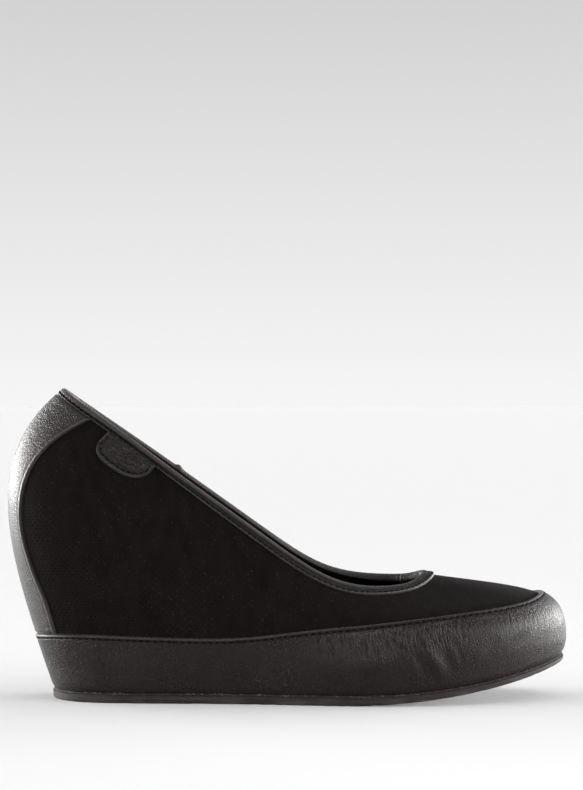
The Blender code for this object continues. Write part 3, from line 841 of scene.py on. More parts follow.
def run_tree(piece, tree, values):
    """Run a tree on a piece with the given input values, and keep its result as the piece's plain mesh."""
    modifier = piece.modifiers.new(tree.name, "NODES")
    modifier.node_group = tree
    for item in tree.interface.items_tree:
        if item.in_out == "INPUT" and item.name in values:
            modifier[item.identifier] = values[item.name]
    bpy.context.view_layer.update()
    evaluated = piece.evaluated_get(bpy.context.evaluated_depsgraph_get())
    mesh = bpy.data.meshes.new_from_object(evaluated)
    if not mesh.polygons:
        raise RuntimeError(f"{tree.name} made nothing on {piece.name}")
    piece.modifiers.remove(modifier)
    old = piece.data
    piece.data = mesh
    bpy.data.meshes.remove(old)
    mesh.shade_smooth()
    mesh.set_sharp_from_angle(angle=SHARP_ANGLE)
    return piece


def pinhole_tree():
    """Punches a small square-sided hole into every face that is marked with its share of the face."""
    graph, inputs = new_tree("pinholes", [
        ("Depth", "NodeSocketFloat"), ("Taper", "NodeSocketFloat"),
        ("Suede", "NodeSocketMaterial"), ("Shade", "NodeSocketMaterial"),
    ])
    share = graph.named("punch")
    marked = graph.node("FunctionNodeCompare", {"operation": "GREATER_THAN"}, {0: share, 1: 0.0})
    suede = graph.node("GeometryNodeSetMaterial", None, {
        "Geometry": inputs["Geometry"], "Material": inputs["Suede"]})
    rim = graph.node("GeometryNodeExtrudeMesh", {"mode": "FACES"}, {
        "Mesh": suede, "Selection": marked, "Offset Scale": 0.0, "Individual": True})
    sized = graph.node("GeometryNodeScaleElements", None, {
        "Geometry": rim, "Selection": rim["Top"], "Scale": share})
    hole = graph.node("GeometryNodeExtrudeMesh", {"mode": "FACES"}, {
        "Mesh": sized, "Selection": rim["Top"], "Offset Scale": 0.0 - inputs["Depth"], "Individual": True})
    floor = graph.node("GeometryNodeScaleElements", None, {
        "Geometry": hole, "Selection": hole["Top"], "Scale": inputs["Taper"]})
    # The hole's walls and floor take the painted shade material.
    inside = graph.node("FunctionNodeBooleanMath", {"operation": "OR"}, {0: hole["Top"], 1: hole["Side"]})
    return close_tree(graph, floor, inputs["Shade"], inside)


def stitch_tree():
    """Sews a given count of stitches along a line: a rounded length of thread at each even step."""
    graph, inputs = new_tree("stitches", [
        ("Count", "NodeSocketInt"), ("Length", "NodeSocketFloat"), ("Radius", "NodeSocketFloat"),
        ("Seed", "NodeSocketInt"), ("Thread", "NodeSocketMaterial"),
    ])
    line = graph.node("GeometryNodeMeshToCurve", None, {"Mesh": inputs["Geometry"]})
    steps = graph.node("GeometryNodeResampleCurve", {"mode": "COUNT"}, {
        "Curve": line, "Count": inputs["Count"]})
    ball = graph.node("GeometryNodeMeshUVSphere", None, {"Segments": 8, "Rings": 6, "Radius": 1.0})
    radii = graph.node("ShaderNodeCombineXYZ", None, {
        "X": inputs["Length"] * 0.5, "Y": inputs["Radius"], "Z": inputs["Radius"]})
    stitch = graph.node("GeometryNodeTransform", None, {"Geometry": ball, "Scale": radii})
    turn = graph.node("FunctionNodeAlignRotationToVector", {"axis": "X"}, {
        "Vector": graph.node("GeometryNodeInputTangent")})
    size = graph.node("FunctionNodeRandomValue", {"data_type": "FLOAT"}, {
        "Min": 0.90, "Max": 1.06, "Seed": inputs["Seed"]})
    sewn = graph.node("GeometryNodeInstanceOnPoints", None, {
        "Points": steps, "Instance": stitch, "Rotation": turn, "Scale": size})
    return close_tree(graph, sewn, inputs["Thread"])


def tread_tree():
    """Moulds a rib across the sole at every point: its half width and slope are kept at the point."""
    graph, inputs = new_tree("tread_ribs", [
        ("Width", "NodeSocketFloat"), ("Height", "NodeSocketFloat"), ("Rubber", "NodeSocketMaterial"),
    ])
    half = graph.named("half")
    slope = graph.named("slope")
    bar = graph.node("GeometryNodeMeshCube", None, {"Size": (1.0, 1.0, 1.0)})
    bar = graph.node("GeometryNodeSubdivisionSurface", None, {"Mesh": bar, "Level": 1, "Edge Crease": 0.75})
    size = graph.node("ShaderNodeCombineXYZ", None, {
        "X": inputs["Width"], "Y": half * 2.0, "Z": inputs["Height"]})
    turn = graph.node("ShaderNodeCombineXYZ", None, {"X": 0.0, "Y": slope, "Z": 0.0})
    points = graph.node("GeometryNodeMeshToPoints", None, {"Mesh": inputs["Geometry"]})
    ribs = graph.node("GeometryNodeInstanceOnPoints", None, {
        "Points": points, "Instance": bar, "Rotation": turn, "Scale": size})
    return close_tree(graph, ribs, inputs["Rubber"])


def sew(name, line, closed, count, stitch, finish):
    """Stitches along a line of points, as one piece."""
    mesh = bpy.data.meshes.new(name)
    edges = [(i, i + 1) for i in range(len(line) - 1)]
    if closed:
        edges.append((len(line) - 1, 0))
    mesh.from_pydata(line.tolist(), edges, [])
    return run_tree(add_object(name, mesh), stitch_tree(), {
        "Count": count, "Length": stitch.length, "Radius": stitch.thread_radius,
        "Seed": stitch.seed, "Thread": finish,
    })


def strip_edge_places(ups, side):
    """Places of the heel strip's edge at shares of the way from the band to the binding."""
    places = side * np.linspace(0.0, 0.2, 60)
    low = band_run(places)
    high = full_run(places) - binding_depth(places)
    runs = low + ups[:, None] * (high - low)
    skin = skin_and_normals(np.broadcast_to(places, runs.shape), runs)[0]
    along = run_along(skin)
    widths = STRIP_HALF_WIDTH * smooth_value([f.up for f in FLARES], [f.width for f in FLARES], ups)
    return np.array([np.interp(width, row, places) for width, row in zip(widths, along)])


class TabChart:
    """Where the tab lies: it hangs square from the binding's lower edge."""

    def __init__(self):
        self.places = np.linspace(0.0, TOE_PLACE, 600)
        self.top = full_run(self.places) - binding_depth(self.places)
        line = skin_and_normals(self.places, self.top)[0]
        self.run = length_along(line, False)[0]
        middle = int(np.searchsorted(self.run, TAB_FROM_BACK + TAB_LENGTH / 2))
        edge = unit(line[middle + 1] - line[middle])
        below = skin_and_normals(self.places[middle:middle + 1], self.top[middle:middle + 1] - MM)[0][0]
        self.slant = float(np.dot(edge, unit(below - line[middle])))
        self.square = math.sqrt(1 - self.slant ** 2)

    def depth(self, across):
        """Depth of the tab at -1 (rear end) to 1 (front end), rounder in front."""
        corner = np.where(across < 0, TAB_CORNERS[0], TAB_CORNERS[1])
        bow = np.maximum(0.0, 1 - np.abs(across) ** corner) ** (1 / corner)
        return TAB_DEPTH * (TAB_LEAST_DEPTH + (1 - TAB_LEAST_DEPTH) * bow)

    def locate(self, across, down):
        """Places and runs of points at a share across and a distance down."""
        from_back = TAB_FROM_BACK + TAB_LENGTH * (across + 1) / 2 - down * self.slant / self.square
        places = np.interp(from_back, self.run, self.places)
        return places, np.interp(places, self.places, self.top) - down / self.square

    def covers(self, places, runs, margin):
        """Whether points lie under the tab or within a margin of it."""
        down = (np.interp(places, self.places, self.top) - runs) * self.square
        from_back = np.interp(places, self.places, self.run) + down * self.slant / self.square
        across = 2 * (from_back - TAB_FROM_BACK) / TAB_LENGTH - 1
        reach = 1 + 2 * margin / TAB_LENGTH
        return (np.abs(across) < reach) & (down < self.depth(np.clip(across / reach, -1, 1)) + margin)


class SuedeSettings(bpy.types.PropertyGroup):
    colour: bpy.props.FloatVectorProperty(
        name="Suede", description="Colour of the nap", subtype="COLOR",
        size=3, min=0.0, max=1.0, default=(0.0048, 0.0030, 0.0029))
    speck_colour: bpy.props.FloatVectorProperty(
        name="Specks", description="Colour of the pale fibre ends", subtype="COLOR",
        size=3, min=0.0, max=1.0, default=(0.026, 0.022, 0.021))
    thickness: bpy.props.FloatProperty(
        name="Suede thickness", description="Thickness of the suede", unit="LENGTH", default=0.0009)
    pitch: bpy.props.FloatProperty(
        name="Pinhole pitch", description="Distance between rows of pinholes", unit="LENGTH", default=0.0026)
    hole: bpy.props.FloatProperty(
        name="Pinhole size", description="Width of a pinhole", unit="LENGTH", default=0.00038)
    hole_depth: bpy.props.FloatProperty(
        name="Pinhole depth", description="Depth of a pinhole", unit="LENGTH", default=0.0004)


class LeatherSettings(bpy.types.PropertyGroup):
    colour: bpy.props.FloatVectorProperty(
        name="Leather", description="Colour of the smooth leather", subtype="COLOR",
        size=3, min=0.0, max=1.0, default=(0.0084, 0.0048, 0.0042))
    # Rubbed wear, and also the painted highlights on raised and rolled edges.
    wear_and_highlight_colour: bpy.props.FloatVectorProperty(
        name="Worn edge", description="Colour of rubbed edges", subtype="COLOR",
        size=3, min=0.0, max=1.0, default=(0.052, 0.048, 0.047))
    grain: bpy.props.FloatProperty(
        name="Grain size", description="Width of the leather's pebbles", unit="LENGTH", default=0.0011)
    roughness: bpy.props.FloatProperty(
        name="Roughness", description="Roughness of the leather", subtype="FACTOR",
        min=0.0, max=1.0, default=0.21)
    fold: bpy.props.FloatProperty(
        name="Fold", description="Radius of a folded leather edge", unit="LENGTH", default=0.0010)
    lip: bpy.props.FloatProperty(
        name="Lip", description="Width of the lip above the band's stitches", unit="LENGTH", default=0.0018)


class LiningSettings(bpy.types.PropertyGroup):
    colour: bpy.props.FloatVectorProperty(
        name="Lining", description="Colour of the lining", subtype="COLOR",
        size=3, min=0.0, max=1.0, default=(0.014, 0.012, 0.011))
    footbed_colour: bpy.props.FloatVectorProperty(
        name="Footbed", description="Colour of the footbed", subtype="COLOR",
        size=3, min=0.0, max=1.0, default=(0.017, 0.015, 0.015))


class StitchSettings(bpy.types.PropertyGroup):
    colour: bpy.props.FloatVectorProperty(
        name="Thread", description="Colour of the thread", subtype="COLOR",
        size=3, min=0.0, max=1.0, default=(0.0022, 0.0020, 0.0020))
    length: bpy.props.FloatProperty(
        name="Stitch length", description="Visible length of a stitch", unit="LENGTH", default=0.0019)
    thread_radius: bpy.props.FloatProperty(
        name="Thread radius", description="Radius of the thread", unit="LENGTH", default=0.00033)
    band_pitch: bpy.props.FloatProperty(
        name="Band stitches", description="Pitch of the band's stitches", unit="LENGTH", default=0.0029)
    binding_pitch: bpy.props.FloatProperty(
        name="Binding stitches", description="Pitch of the binding's stitches", unit="LENGTH", default=0.0027)
    seed: bpy.props.IntProperty(
        name="Seed", description="Seed of the small differences between stitches", default=3)


class SoleSettings(bpy.types.PropertyGroup):
    colour: bpy.props.FloatVectorProperty(
        name="Rubber", description="Colour of the sole", subtype="COLOR",
        size=3, min=0.0, max=1.0, default=(0.0180, 0.0132, 0.0126))
    scuff_colour: bpy.props.FloatVectorProperty(
        name="Scuffs", description="Colour of the scuffed lower edge", subtype="COLOR",
        size=3, min=0.0, max=1.0, default=(0.090, 0.086, 0.082))
    # Dried cement in the joint, painted pale to stand in for its glints.
    cement_glint_colour: bpy.props.FloatVectorProperty(
        name="Cement", description="Colour of dried cement in the joint", subtype="COLOR",
        size=3, min=0.0, max=1.0, default=(0.16, 0.15, 0.14))
    tread_pitch: bpy.props.FloatProperty(
        name="Tread pitch", description="Distance between tread ribs", unit="LENGTH", default=0.0040)
    tread_width: bpy.props.FloatProperty(
        name="Tread rib", description="Width of a tread rib", unit="LENGTH", default=0.0020)
    tread_depth: bpy.props.FloatProperty(
        name="Tread depth", description="Depth between tread ribs", unit="LENGTH", default=0.0007)
    border: bpy.props.FloatProperty(
        name="Sole border", description="Width of the plain border under the sole", unit="LENGTH",
        default=0.0055)


class StageSettings(bpy.types.PropertyGroup):
    floor_colour: bpy.props.FloatVectorProperty(
        name="Floor", description="Colour of the background paper", subtype="COLOR",
        size=3, min=0.0, max=1.0, default=(0.61, 0.61, 0.61))
    world_strength: bpy.props.FloatProperty(
        name="Surround", description="Brightness of the white surround", default=1.0)
    glow: bpy.props.FloatProperty(
        name="Floor glow", description="Light that comes through the floor's paper from below",
        min=0.0, max=1.0, default=0.16)
    side_light: bpy.props.FloatProperty(
        name="Side light", description="Brightness of the surround at both ends of the shoe", default=19.0)
    distance: bpy.props.FloatProperty(
        name="Camera distance", description="Distance of the camera", unit="LENGTH", default=1.2)


class ShoeSettings(bpy.types.PropertyGroup):
    suede: bpy.props.PointerProperty(type=SuedeSettings, name="Suede", description="The upper's suede")
    leather: bpy.props.PointerProperty(type=LeatherSettings, name="Leather", description="The leather trims")
    lining: bpy.props.PointerProperty(type=LiningSettings, name="Lining", description="Lining and footbed")
    stitch: bpy.props.PointerProperty(type=StitchSettings, name="Stitches", description="Threads")
    sole: bpy.props.PointerProperty(type=SoleSettings, name="Sole", description="The rubber sole")
    stage: bpy.props.PointerProperty(type=StageSettings, name="Stage", description="Floor, light and camera")


def band_stitch_line(leather):
    """Points along the band's stitch groove, one a column."""
    places = round_places()
    return lay(places[None], band_run(places)[None] - leather.lip, BAND_LIFT - 0.5 * BAND_GROOVE_DEPTH)[0]


def binding_stitch_line():
    """Points along the groove above the binding's lower edge, one a column."""
    places = round_places()
    runs = (full_run(places) - binding_depth(places) + BINDING_GROOVE)[None]
    return lay(places[None], runs, BINDING_LIFT - 0.3 * BINDING_GROOVE_DEPTH)[0]


def stitch_count(line, pitch, closed=True):
    return round(length_along(line, closed)[1] / pitch)


def stitch_wave(line, count):
    """1 at each stitch's middle and 0 between stitches, along a closed line."""
    run, whole = length_along(line, True)
    return 0.5 + 0.5 * np.cos(2 * np.pi * count * run / whole)


class SHOE_OT_upper_suede(bpy.types.Operator):
    """Perforated suede of the upper, from under the band to the opening"""
    bl_idname = "shoe.upper_suede"
    bl_label = "Upper suede"

    def execute(self, context):
        suede = context.scene.shoe.suede
        columns = round(self.girth() / suede.pitch)
        places, runs, kept = self.lattice(columns, suede.pitch / 2)
        faces, steps = self.diamonds(columns, kept)
        outer = lay(places[None], runs[None], 0.0)[0]
        inner = lay(places[None], runs[None], -suede.thickness)[0]
        rim = self.rim(faces, len(places))
        marks = self.marks(faces, steps, places, runs, outer, suede)
        back = [[i + len(places) for i in reversed(face)] for face in faces]
        points = np.concatenate([outer, inner])
        piece = make_mesh("upper_suede", points, faces + back + rim, [])
        shares = np.zeros(len(piece.data.polygons))
        shares[:len(marks)] = marks
        keep_values(piece.data, {"punch": shares}, "FACE")
        run_tree(piece, pinhole_tree(), {
            "Depth": suede.hole_depth, "Taper": 0.8,
            "Suede": napped_suede(suede), "Shade": pinhole_shade(suede),
        })
        dress(piece, "suede", "upper")
        return {"FINISHED"}

    def girth(self):
        """Length round the shoe along the band's edge."""
        places = round_places()
        return length_along(skin_and_normals(places, band_run(places))[0], True)[1]

    def lattice(self, columns, step):
        """Places and runs of staggered points, row by row up from under the band, and their numbers."""
        rows = int(RIB_LENGTHS.max() / step)
        places, runs, kept = [], [], {}
        for row in range(rows):
            line = (np.arange(columns) + 0.5 * (row % 2)) / columns
            run = band_run(line) - SUEDE_UNDER_BAND + row * step
            for column in np.nonzero(run < full_run(line) - SUEDE_SHORT)[0]:
                kept[row, int(column)] = len(places)
                places.append(line[column])
                runs.append(run[column])
        return np.array(places), np.array(runs), kept

    def diamonds(self, columns, kept):
        """Diamond faces on the staggered points, triangles along the lowest row, and each face's step."""
        faces, steps = [], []
        for (row, column), low in kept.items():
            left = (column - 1 if row % 2 == 0 else column) % columns
            right = (left + 1) % columns
            corners = [low, kept.get((row + 1, right)), kept.get((row + 2, column)),
                       kept.get((row + 1, left))]
            if None not in corners:
                faces.append(corners)
                steps.append(2 * column + row % 2 - row)
            if row == 0:
                faces.append([low, kept[0, (column + 1) % columns], kept[1, column]])
                steps.append(0)
        return faces, np.array(steps)

    def rim(self, faces, count):
        """Faces that join the outer sheet's border to the inner sheet's."""
        edges = set()
        for face in faces:
            edges.update(zip(face, face[1:] + face[:1]))
        return [[b, a, a + count, b + count] for a, b in sorted(edges) if (b, a) not in edges]

    def marks(self, faces, steps, places, runs, points, suede):
        """Each face's pinhole width as a share of the face, 0 where the suede is plain or covered."""
        tab = TabChart()
        corners = [face if len(face) == 4 else face + face[:1] for face in faces]
        index = np.array(corners)
        spread = np.mod(places[index] - places[index[:, :1]] + 0.5, 1.0) - 0.5
        place = np.mod(places[index[:, 0]] + spread.mean(axis=1), 1.0)
        run = runs[index].mean(axis=1)
        low_point, right, high_point, left = [points[index[:, corner]] for corner in range(4)]
        side = np.linalg.norm(low_point - right, axis=1)
        other = np.linalg.norm(right - high_point, axis=1)
        facing_up = np.abs(unit(np.cross(high_point - low_point, left - right))[:, 2])
        share = suede.hole / np.sqrt(side * other) * (1 - 0.55 * fade(facing_up, 0.3, 0.7))
        width = np.linalg.norm(right - left, axis=1)
        low, high = band_run(place), full_run(place) - binding_depth(place)
        open_suede = (run > low + PLAIN["band"]) & (run < high - PLAIN["binding"])
        up = np.clip((run - low) / (high - low), 0.0, 1.0)
        ups = np.linspace(0.0, 1.0, 50)
        margin = PLAIN["strip"] / self.girth()
        outer = np.interp(up, ups, strip_edge_places(ups, 1)) + margin
        inner = np.interp(up, ups, strip_edge_places(ups, -1)) - margin
        open_suede &= (place > outer) & (place - 1 < inner)
        open_suede &= ~tab.covers(np.minimum(place, TOE_PLACE), run, PLAIN["tab"]) | (place > TOE_PLACE)
        whole = np.array([len(face) == 4 for face in faces])
        sparse = (width > 0.74 * suede.pitch) | (steps % 4 == 0)
        return np.where(open_suede & whole & sparse, share, 0.0)


class SHOE_OT_lining(bpy.types.Operator):
    """Thin lining inside the upper, from the sole to the opening"""
    bl_idname = "shoe.lining"
    bl_label = "Lining"

    def execute(self, context):
        shoe = context.scene.shoe
        places = round_places(LINING_ROUND)
        shares = np.linspace(0.0, 1.0, 60)[:, None]
        runs = shares * full_run(places)
        outer = lay(places, runs, -suede_back(shoe.suede))
        inner = lay(places, runs, -UPPER_WALL)
        sections = np.concatenate([outer, inner[::-1]])
        piece = make_tube("lining", sections, lining_leather("lining_leather", shoe.lining.colour))
        dress(piece, "lining_leather", "upper")
        return {"FINISHED"}


def suede_back(suede):
    """Depth of the lining's outer face under the upper's outer face."""
    return suede.thickness + SEAT


class SHOE_OT_band(bpy.types.Operator):
    """Leather band round the foot, with its folded lip, stitch groove and creases"""
    bl_idname = "shoe.band"
    bl_label = "Band"

    def execute(self, context):
        shoe = context.scene.shoe
        leather = shoe.leather
        places = round_places()
        edge_run = band_run(places)
        zone = 0.0036
        lower = np.linspace(0.0, 1.0, 34)[:-1, None] * (edge_run - zone)
        upper = edge_run - zone * np.linspace(1.0, 0.0, 19)[:, None]
        runs = np.concatenate([lower, upper])
        from_edge = edge_run - runs
        line = band_stitch_line(leather)
        wave = stitch_wave(line, stitch_count(line, shoe.stitch.band_pitch))
        skin = skin_and_normals(np.broadcast_to(places, runs.shape), runs)[0]
        side = np.where(skin[..., 1] < 0, -1, 1)
        lift = BAND_LIFT - crease_depth(side, skin[..., 0], skin[..., 2])
        lift = lift + LIP_SWELL * bump(from_edge, 0.45 * leather.lip, 0.4 * leather.lip)
        lift -= BAND_GROOVE_DEPTH * (0.55 + 0.45 * wave) * bump(from_edge, leather.lip, 0.00036)
        lift -= FOOT_TUCK * fade(runs, 0.0022, 0.0)
        lift = fold_edge(lift, from_edge, leather.fold, 0.06)
        back = np.concatenate([runs[:-1:8], runs[-1:]])[::-1]
        sections = np.concatenate([lay(places, runs, lift), lay(places, back, SEAT)])
        edge = bump(from_edge, 0.0005, 0.0005)
        # Painted shade in the stitch groove, darkest at the stitches.
        seam = (0.15 + 0.85 * wave) * bump(from_edge, leather.lip, 0.0005)
        pull = self.pull(skin, from_edge - leather.lip)
        piece = make_tube("band_leather", sections,
                          smooth_leather("band_grain", leather, grain_gain=0.75, lean=0.26),
                          {"edge": edge, "seam": seam, "pull": pull})
        dress(piece, "smooth_leather", "band")
        return {"FINISHED"}

    def pull(self, skin, under_seam):
        """How much the leather is drawn into fine wrinkles: most under the seam by the ball of the foot."""
        x = skin[..., 0] / LENGTH
        ball = np.maximum(bump(x, 0.15, 0.09), 0.8 * bump(x, 0.26, 0.05))
        sides = np.maximum(0.25 * bump(x, -0.30, 0.12), 0.35 * bump(x, 0.42, 0.06))
        return np.maximum(ball, sides) * fade(under_seam, 0.0, 0.0012) * fade(under_seam, 0.018, 0.006)


class SHOE_OT_heel_strip(bpy.types.Operator):
    """Back strip of leather with a raised edge on each side"""
    bl_idname = "shoe.heel_strip"
    bl_label = "Heel strip"

    def execute(self, context):
        leather = context.scene.shoe.leather
        tuck = 0.0008
        ups = np.linspace(0.0, 1.0, 130)
        outer_edge, inner_edge = strip_edge_places(ups, 1), strip_edge_places(ups, -1)
        across = np.sin(np.linspace(-1.0, 1.0, 141) * np.pi / 2)[None]
        places = np.where(across < 0, -across * inner_edge[:, None], across * outer_edge[:, None])
        low = band_run(places) - tuck
        high = full_run(places) - binding_depth(places) + tuck
        runs = low + ups[:, None] * (high - low)
        skin = skin_and_normals(places, runs)[0]
        along = run_along(skin)
        from_edge = np.minimum(along, along[:, -1:] - along)
        from_end = np.minimum(runs - low, high - runs)
        lift = STRIP_LIFT + self.folds(along, runs - low)
        lift += 0.00034 * bump(from_edge, STRIP_BEAD, 0.00055)
        lift -= 0.00018 * bump(from_edge, STRIP_GROOVE, 0.0005)
        lift = fold_edge(lift, from_edge, 0.0007, 0.06)
        lift = lift + (0.00035 - lift) * fade(from_end, 2 * tuck, tuck)
        # The raised bead is lighter: partly rubbed wear, partly a painted highlight. Painted shade darkens
        # the strip's border against the suede.
        edge = bump(from_edge, STRIP_BEAD, 0.0005)
        seam = 0.8 * bump(from_edge, 0.0, 0.0005)
        pull = 0.05 + 0.25 * fade(np.broadcast_to(ups[:, None], along.shape), 0.3, 0.9)
        piece = make_slab("heel_strip_leather", lay(places, runs, lift), lay(places, runs, SEAT),
                          smooth_leather("strip_grain", leather, grain_gain=0.5, lean=0.2,
                                         streak=(0.4, 0.4, 1.5), gloss=0.46),
                          {"edge": edge, "seam": seam, "pull": pull})
        dress(piece, "smooth_leather", "heel_strip")
        return {"FINISHED"}

    def folds(self, along, up):
        """Fine lines across the strip where the leather was pulled over the heel's curve."""
        source = np.random.default_rng(11)
        depth = np.zeros_like(along)
        for height in np.linspace(0.006, 0.082, 30):
            middle = along.max() * source.uniform(0.15, 0.85)
            reach = source.uniform(0.006, 0.014)
            slope = source.uniform(-0.22, 0.22)
            centre = height + source.uniform(-0.0015, 0.0015) + slope * (along - middle)
            taper = np.clip(1 - ((along - middle) / reach) ** 2, 0.0, 1.0)
            depth -= source.uniform(0.00002, 0.00006) * bump(up, centre, 0.0005) * taper
        return depth


class SHOE_OT_binding(bpy.types.Operator):
    """Leather folded over the edge of the opening, pleated round the throat"""
    bl_idname = "shoe.binding"
    bl_label = "Binding"

    def execute(self, context):
        shoe = context.scene.shoe
        places = round_places()
        top = full_run(places)
        outer, outer_edge, outer_groove_shade = self.flank(places, top, shoe)
        roll = self.roll(places, top)
        depth = binding_depth(places)
        inner_down = np.linspace(0.0, 1.0, 9)[:, None] * depth
        inner_lift = BINDING_LIFT * np.maximum(rounded(depth - inner_down, 0.0007), 0.1)
        inner = lay(places, top - inner_down, -UPPER_WALL - inner_lift - self.pleats(places, top))
        under = [
            lay(places, (top - depth)[None], -UPPER_WALL - SEAT),
            self.over_edge(places, top, 180, SEAT, SEAT),
            self.over_edge(places, top, 0, SEAT, SEAT),
            lay(places, (top - depth)[None], SEAT),
        ]
        sections = np.concatenate([outer, roll, inner, *under])
        # The rolled edge is lighter all over: partly rubbed wear, partly a painted highlight along the roll.
        edge = np.concatenate([outer_edge, np.full(roll.shape[:2], 0.85)])
        piece = make_tube("binding_leather", sections,
                          smooth_leather("binding_grain", shoe.leather, grain_gain=0.8),
                          {"edge": edge, "seam": outer_groove_shade})
        dress(piece, "smooth_leather", "binding")
        return {"FINISHED"}

    def flank(self, places, top, shoe):
        """Rows of the outer flank from its lower edge to the rolled edge, their wear and painted highlights,
        and their painted groove shade.
        """
        down = binding_depth(places) * np.linspace(1.0, 0.0, 25)[:, None]
        up = binding_depth(places) - down
        line = binding_stitch_line()
        wave = stitch_wave(line, stitch_count(line, shoe.stitch.binding_pitch))
        lift = BINDING_LIFT + self.pleats(places, top) * np.ones_like(down) + self.overlap(places) * 0.5
        lift = lift + 0.00012 * bump(down, 0.0005, 0.0007) - 0.00026 * bump(down, 0.0017, 0.00035)
        lift -= BINDING_GROOVE_DEPTH * (0.55 + 0.45 * wave) * bump(up, BINDING_GROOVE, 0.0003)
        lift = fold_edge(lift, up, 0.0006, 0.08)
        # Round the throat the binding is painted lighter, most on the pleats' crests: a painted highlight.
        crests = np.maximum(self.pleats(places, top), 0) / PLEAT_DEPTH
        throat_highlight = self.throat(places) * (0.45 + 0.4 * crests)
        # The top bead and the lower lip are lighter: partly rubbed wear, partly a painted highlight.
        edge = np.maximum(bump(up, 0.0004, 0.0004) + bump(down, 0.0003, 0.0006), throat_highlight)
        # Painted shade in the stitch groove and in the valley below the bead, lessened round the throat under
        # its painted highlight.
        seam = (0.3 + 0.7 * wave) * bump(up, BINDING_GROOVE, 0.0003) + 0.8 * bump(down, 0.0020, 0.0008)
        seam = np.minimum(seam, 1 - 0.6 * self.throat(places))
        return lay(places, top - down, lift), edge, seam

    def roll(self, places, top):
        """Rows over the rolled edge."""
        height = BINDING_LIFT + self.overlap(places) + self.pleats(places, top)
        rows = [self.over_edge(places, top, angle, BINDING_LIFT, height) for angle in range(12, 180, 12)]
        return np.concatenate(rows)

    def over_edge(self, places, top, angle, side, height):
        """A row over the opening's edge at an angle from the outer side, off the wall's faces and top."""
        skin, out = skin_and_normals(places[None], top[None])
        below = skin_and_normals(places[None], top[None] - binding_depth(places))[0]
        up = unit(skin - below)
        middle = skin - UPPER_WALL / 2 * out
        turn = math.radians(angle)
        height = np.broadcast_to(height, places.shape)[None, :, None]
        return middle + (UPPER_WALL / 2 + side) * math.cos(turn) * out + height * math.sin(turn) * up

    def pleats(self, places, top):
        """Small cross pleats where the leather is taken in round the throat."""
        line = skin_and_normals(places, top)[0]
        run = length_along(line, True)[0]
        shift = 0.5 * np.sin(run * 2 * np.pi / 0.0083) + 0.4 * np.sin(run * 2 * np.pi / 0.0131)
        wave = np.cos(2 * np.pi * run / PLEAT_PITCH + shift * 2)
        return PLEAT_DEPTH * wave * self.throat(places)

    def throat(self, places):
        """1 round the front of the opening, falling to 0 along its sides."""
        return fade(np.abs(places - TOE_PLACE), 0.17, 0.05)

    def overlap(self, places):
        """The small bulge on the inner side where the binding's ends meet."""
        return OVERLAP_HEIGHT * bump(places, self.place_of_x(OVERLAP_X), OVERLAP_WIDTH)

    def place_of_x(self, x):
        """Place on the inner side where the opening's edge reaches an x."""
        places = np.linspace(TOE_PLACE, 1.0, 400)
        line = skin_and_normals(places, full_run(places))[0][:, 0]
        return float(np.interp(-x, -line, places))


class SHOE_OT_tab(bpy.types.Operator):
    """Half-moon tab of leather under the binding on the outer side"""
    bl_idname = "shoe.tab"
    bl_label = "Tab"

    def execute(self, context):
        leather = context.scene.shoe.leather
        tab = TabChart()
        across = -np.cos(np.linspace(0.0, np.pi, 81))[None]
        share = np.sin(np.linspace(0.0, np.pi / 2, 37))[::-1, None]
        depth = tab.depth(across)
        down = share * depth - 0.0006 * (1 - share)
        places, runs = tab.locate(np.broadcast_to(across, down.shape), down)
        to_end = (1 - np.abs(across)) * TAB_LENGTH / 2
        from_edge = np.minimum((1 - share) * depth, to_end)
        lift = TAB_LIFT + 0.00012 * bump(from_edge, 0.0008, 0.0005)
        lift -= 0.00010 * bump(from_edge, TAB_SEAM, 0.0004)
        lift = fold_edge(lift, from_edge, 0.0006, 0.08)
        lift = lift + (0.0006 - lift) * fade(down, 0.0, -0.0005)
        edge = 0.8 * bump(from_edge, 0.0005, 0.0006) + 0.05
        # Painted shade in the stitch groove.
        seam = 0.6 * bump(from_edge, TAB_SEAM, 0.0004)
        piece = make_slab("tab_leather", lay(places, runs, lift), lay(places, runs, SEAT),
                          smooth_leather("tab_grain", leather, grain_gain=2.0, lean=0.96),
                          {"edge": edge, "seam": seam, "pull": np.full(edge.shape, 0.6)})
        dress(piece, "smooth_leather", "tab")
        return {"FINISHED"}


class SHOE_OT_stitches(bpy.types.Operator):
    """Stitches along the band, the binding and the tab"""
    bl_idname = "shoe.stitches"
    bl_label = "Stitches"

    def execute(self, context):
        shoe = context.scene.shoe
        thread = sewing_thread("black_thread", shoe.stitch.colour)
        band = band_stitch_line(shoe.leather)
        binding = binding_stitch_line()
        tab = self.tab_line()
        seams = [
            ("band_stitches", band, True, shoe.stitch.band_pitch),
            ("binding_stitches", binding, True, shoe.stitch.binding_pitch),
            ("tab_stitches", tab, False, TAB_STITCH_PITCH),
        ]
        pieces = [
            sew(name, line, closed, stitch_count(line, pitch, closed), shoe.stitch, thread)
            for name, line, closed, pitch in seams
        ]
        for piece in pieces:
            dress(piece, "smooth_leather")
        return {"FINISHED"}

    def tab_line(self):
        """A plain running stitch just inside the tab's free edge."""
        tab = TabChart()
        across = np.linspace(-0.86, 0.86, 60)
        down = tab.depth(across / 0.93) - TAB_SEAM
        places, runs = tab.locate(across, down)
        return lay(places[None], runs[None], TAB_LIFT - 0.0001)[0]


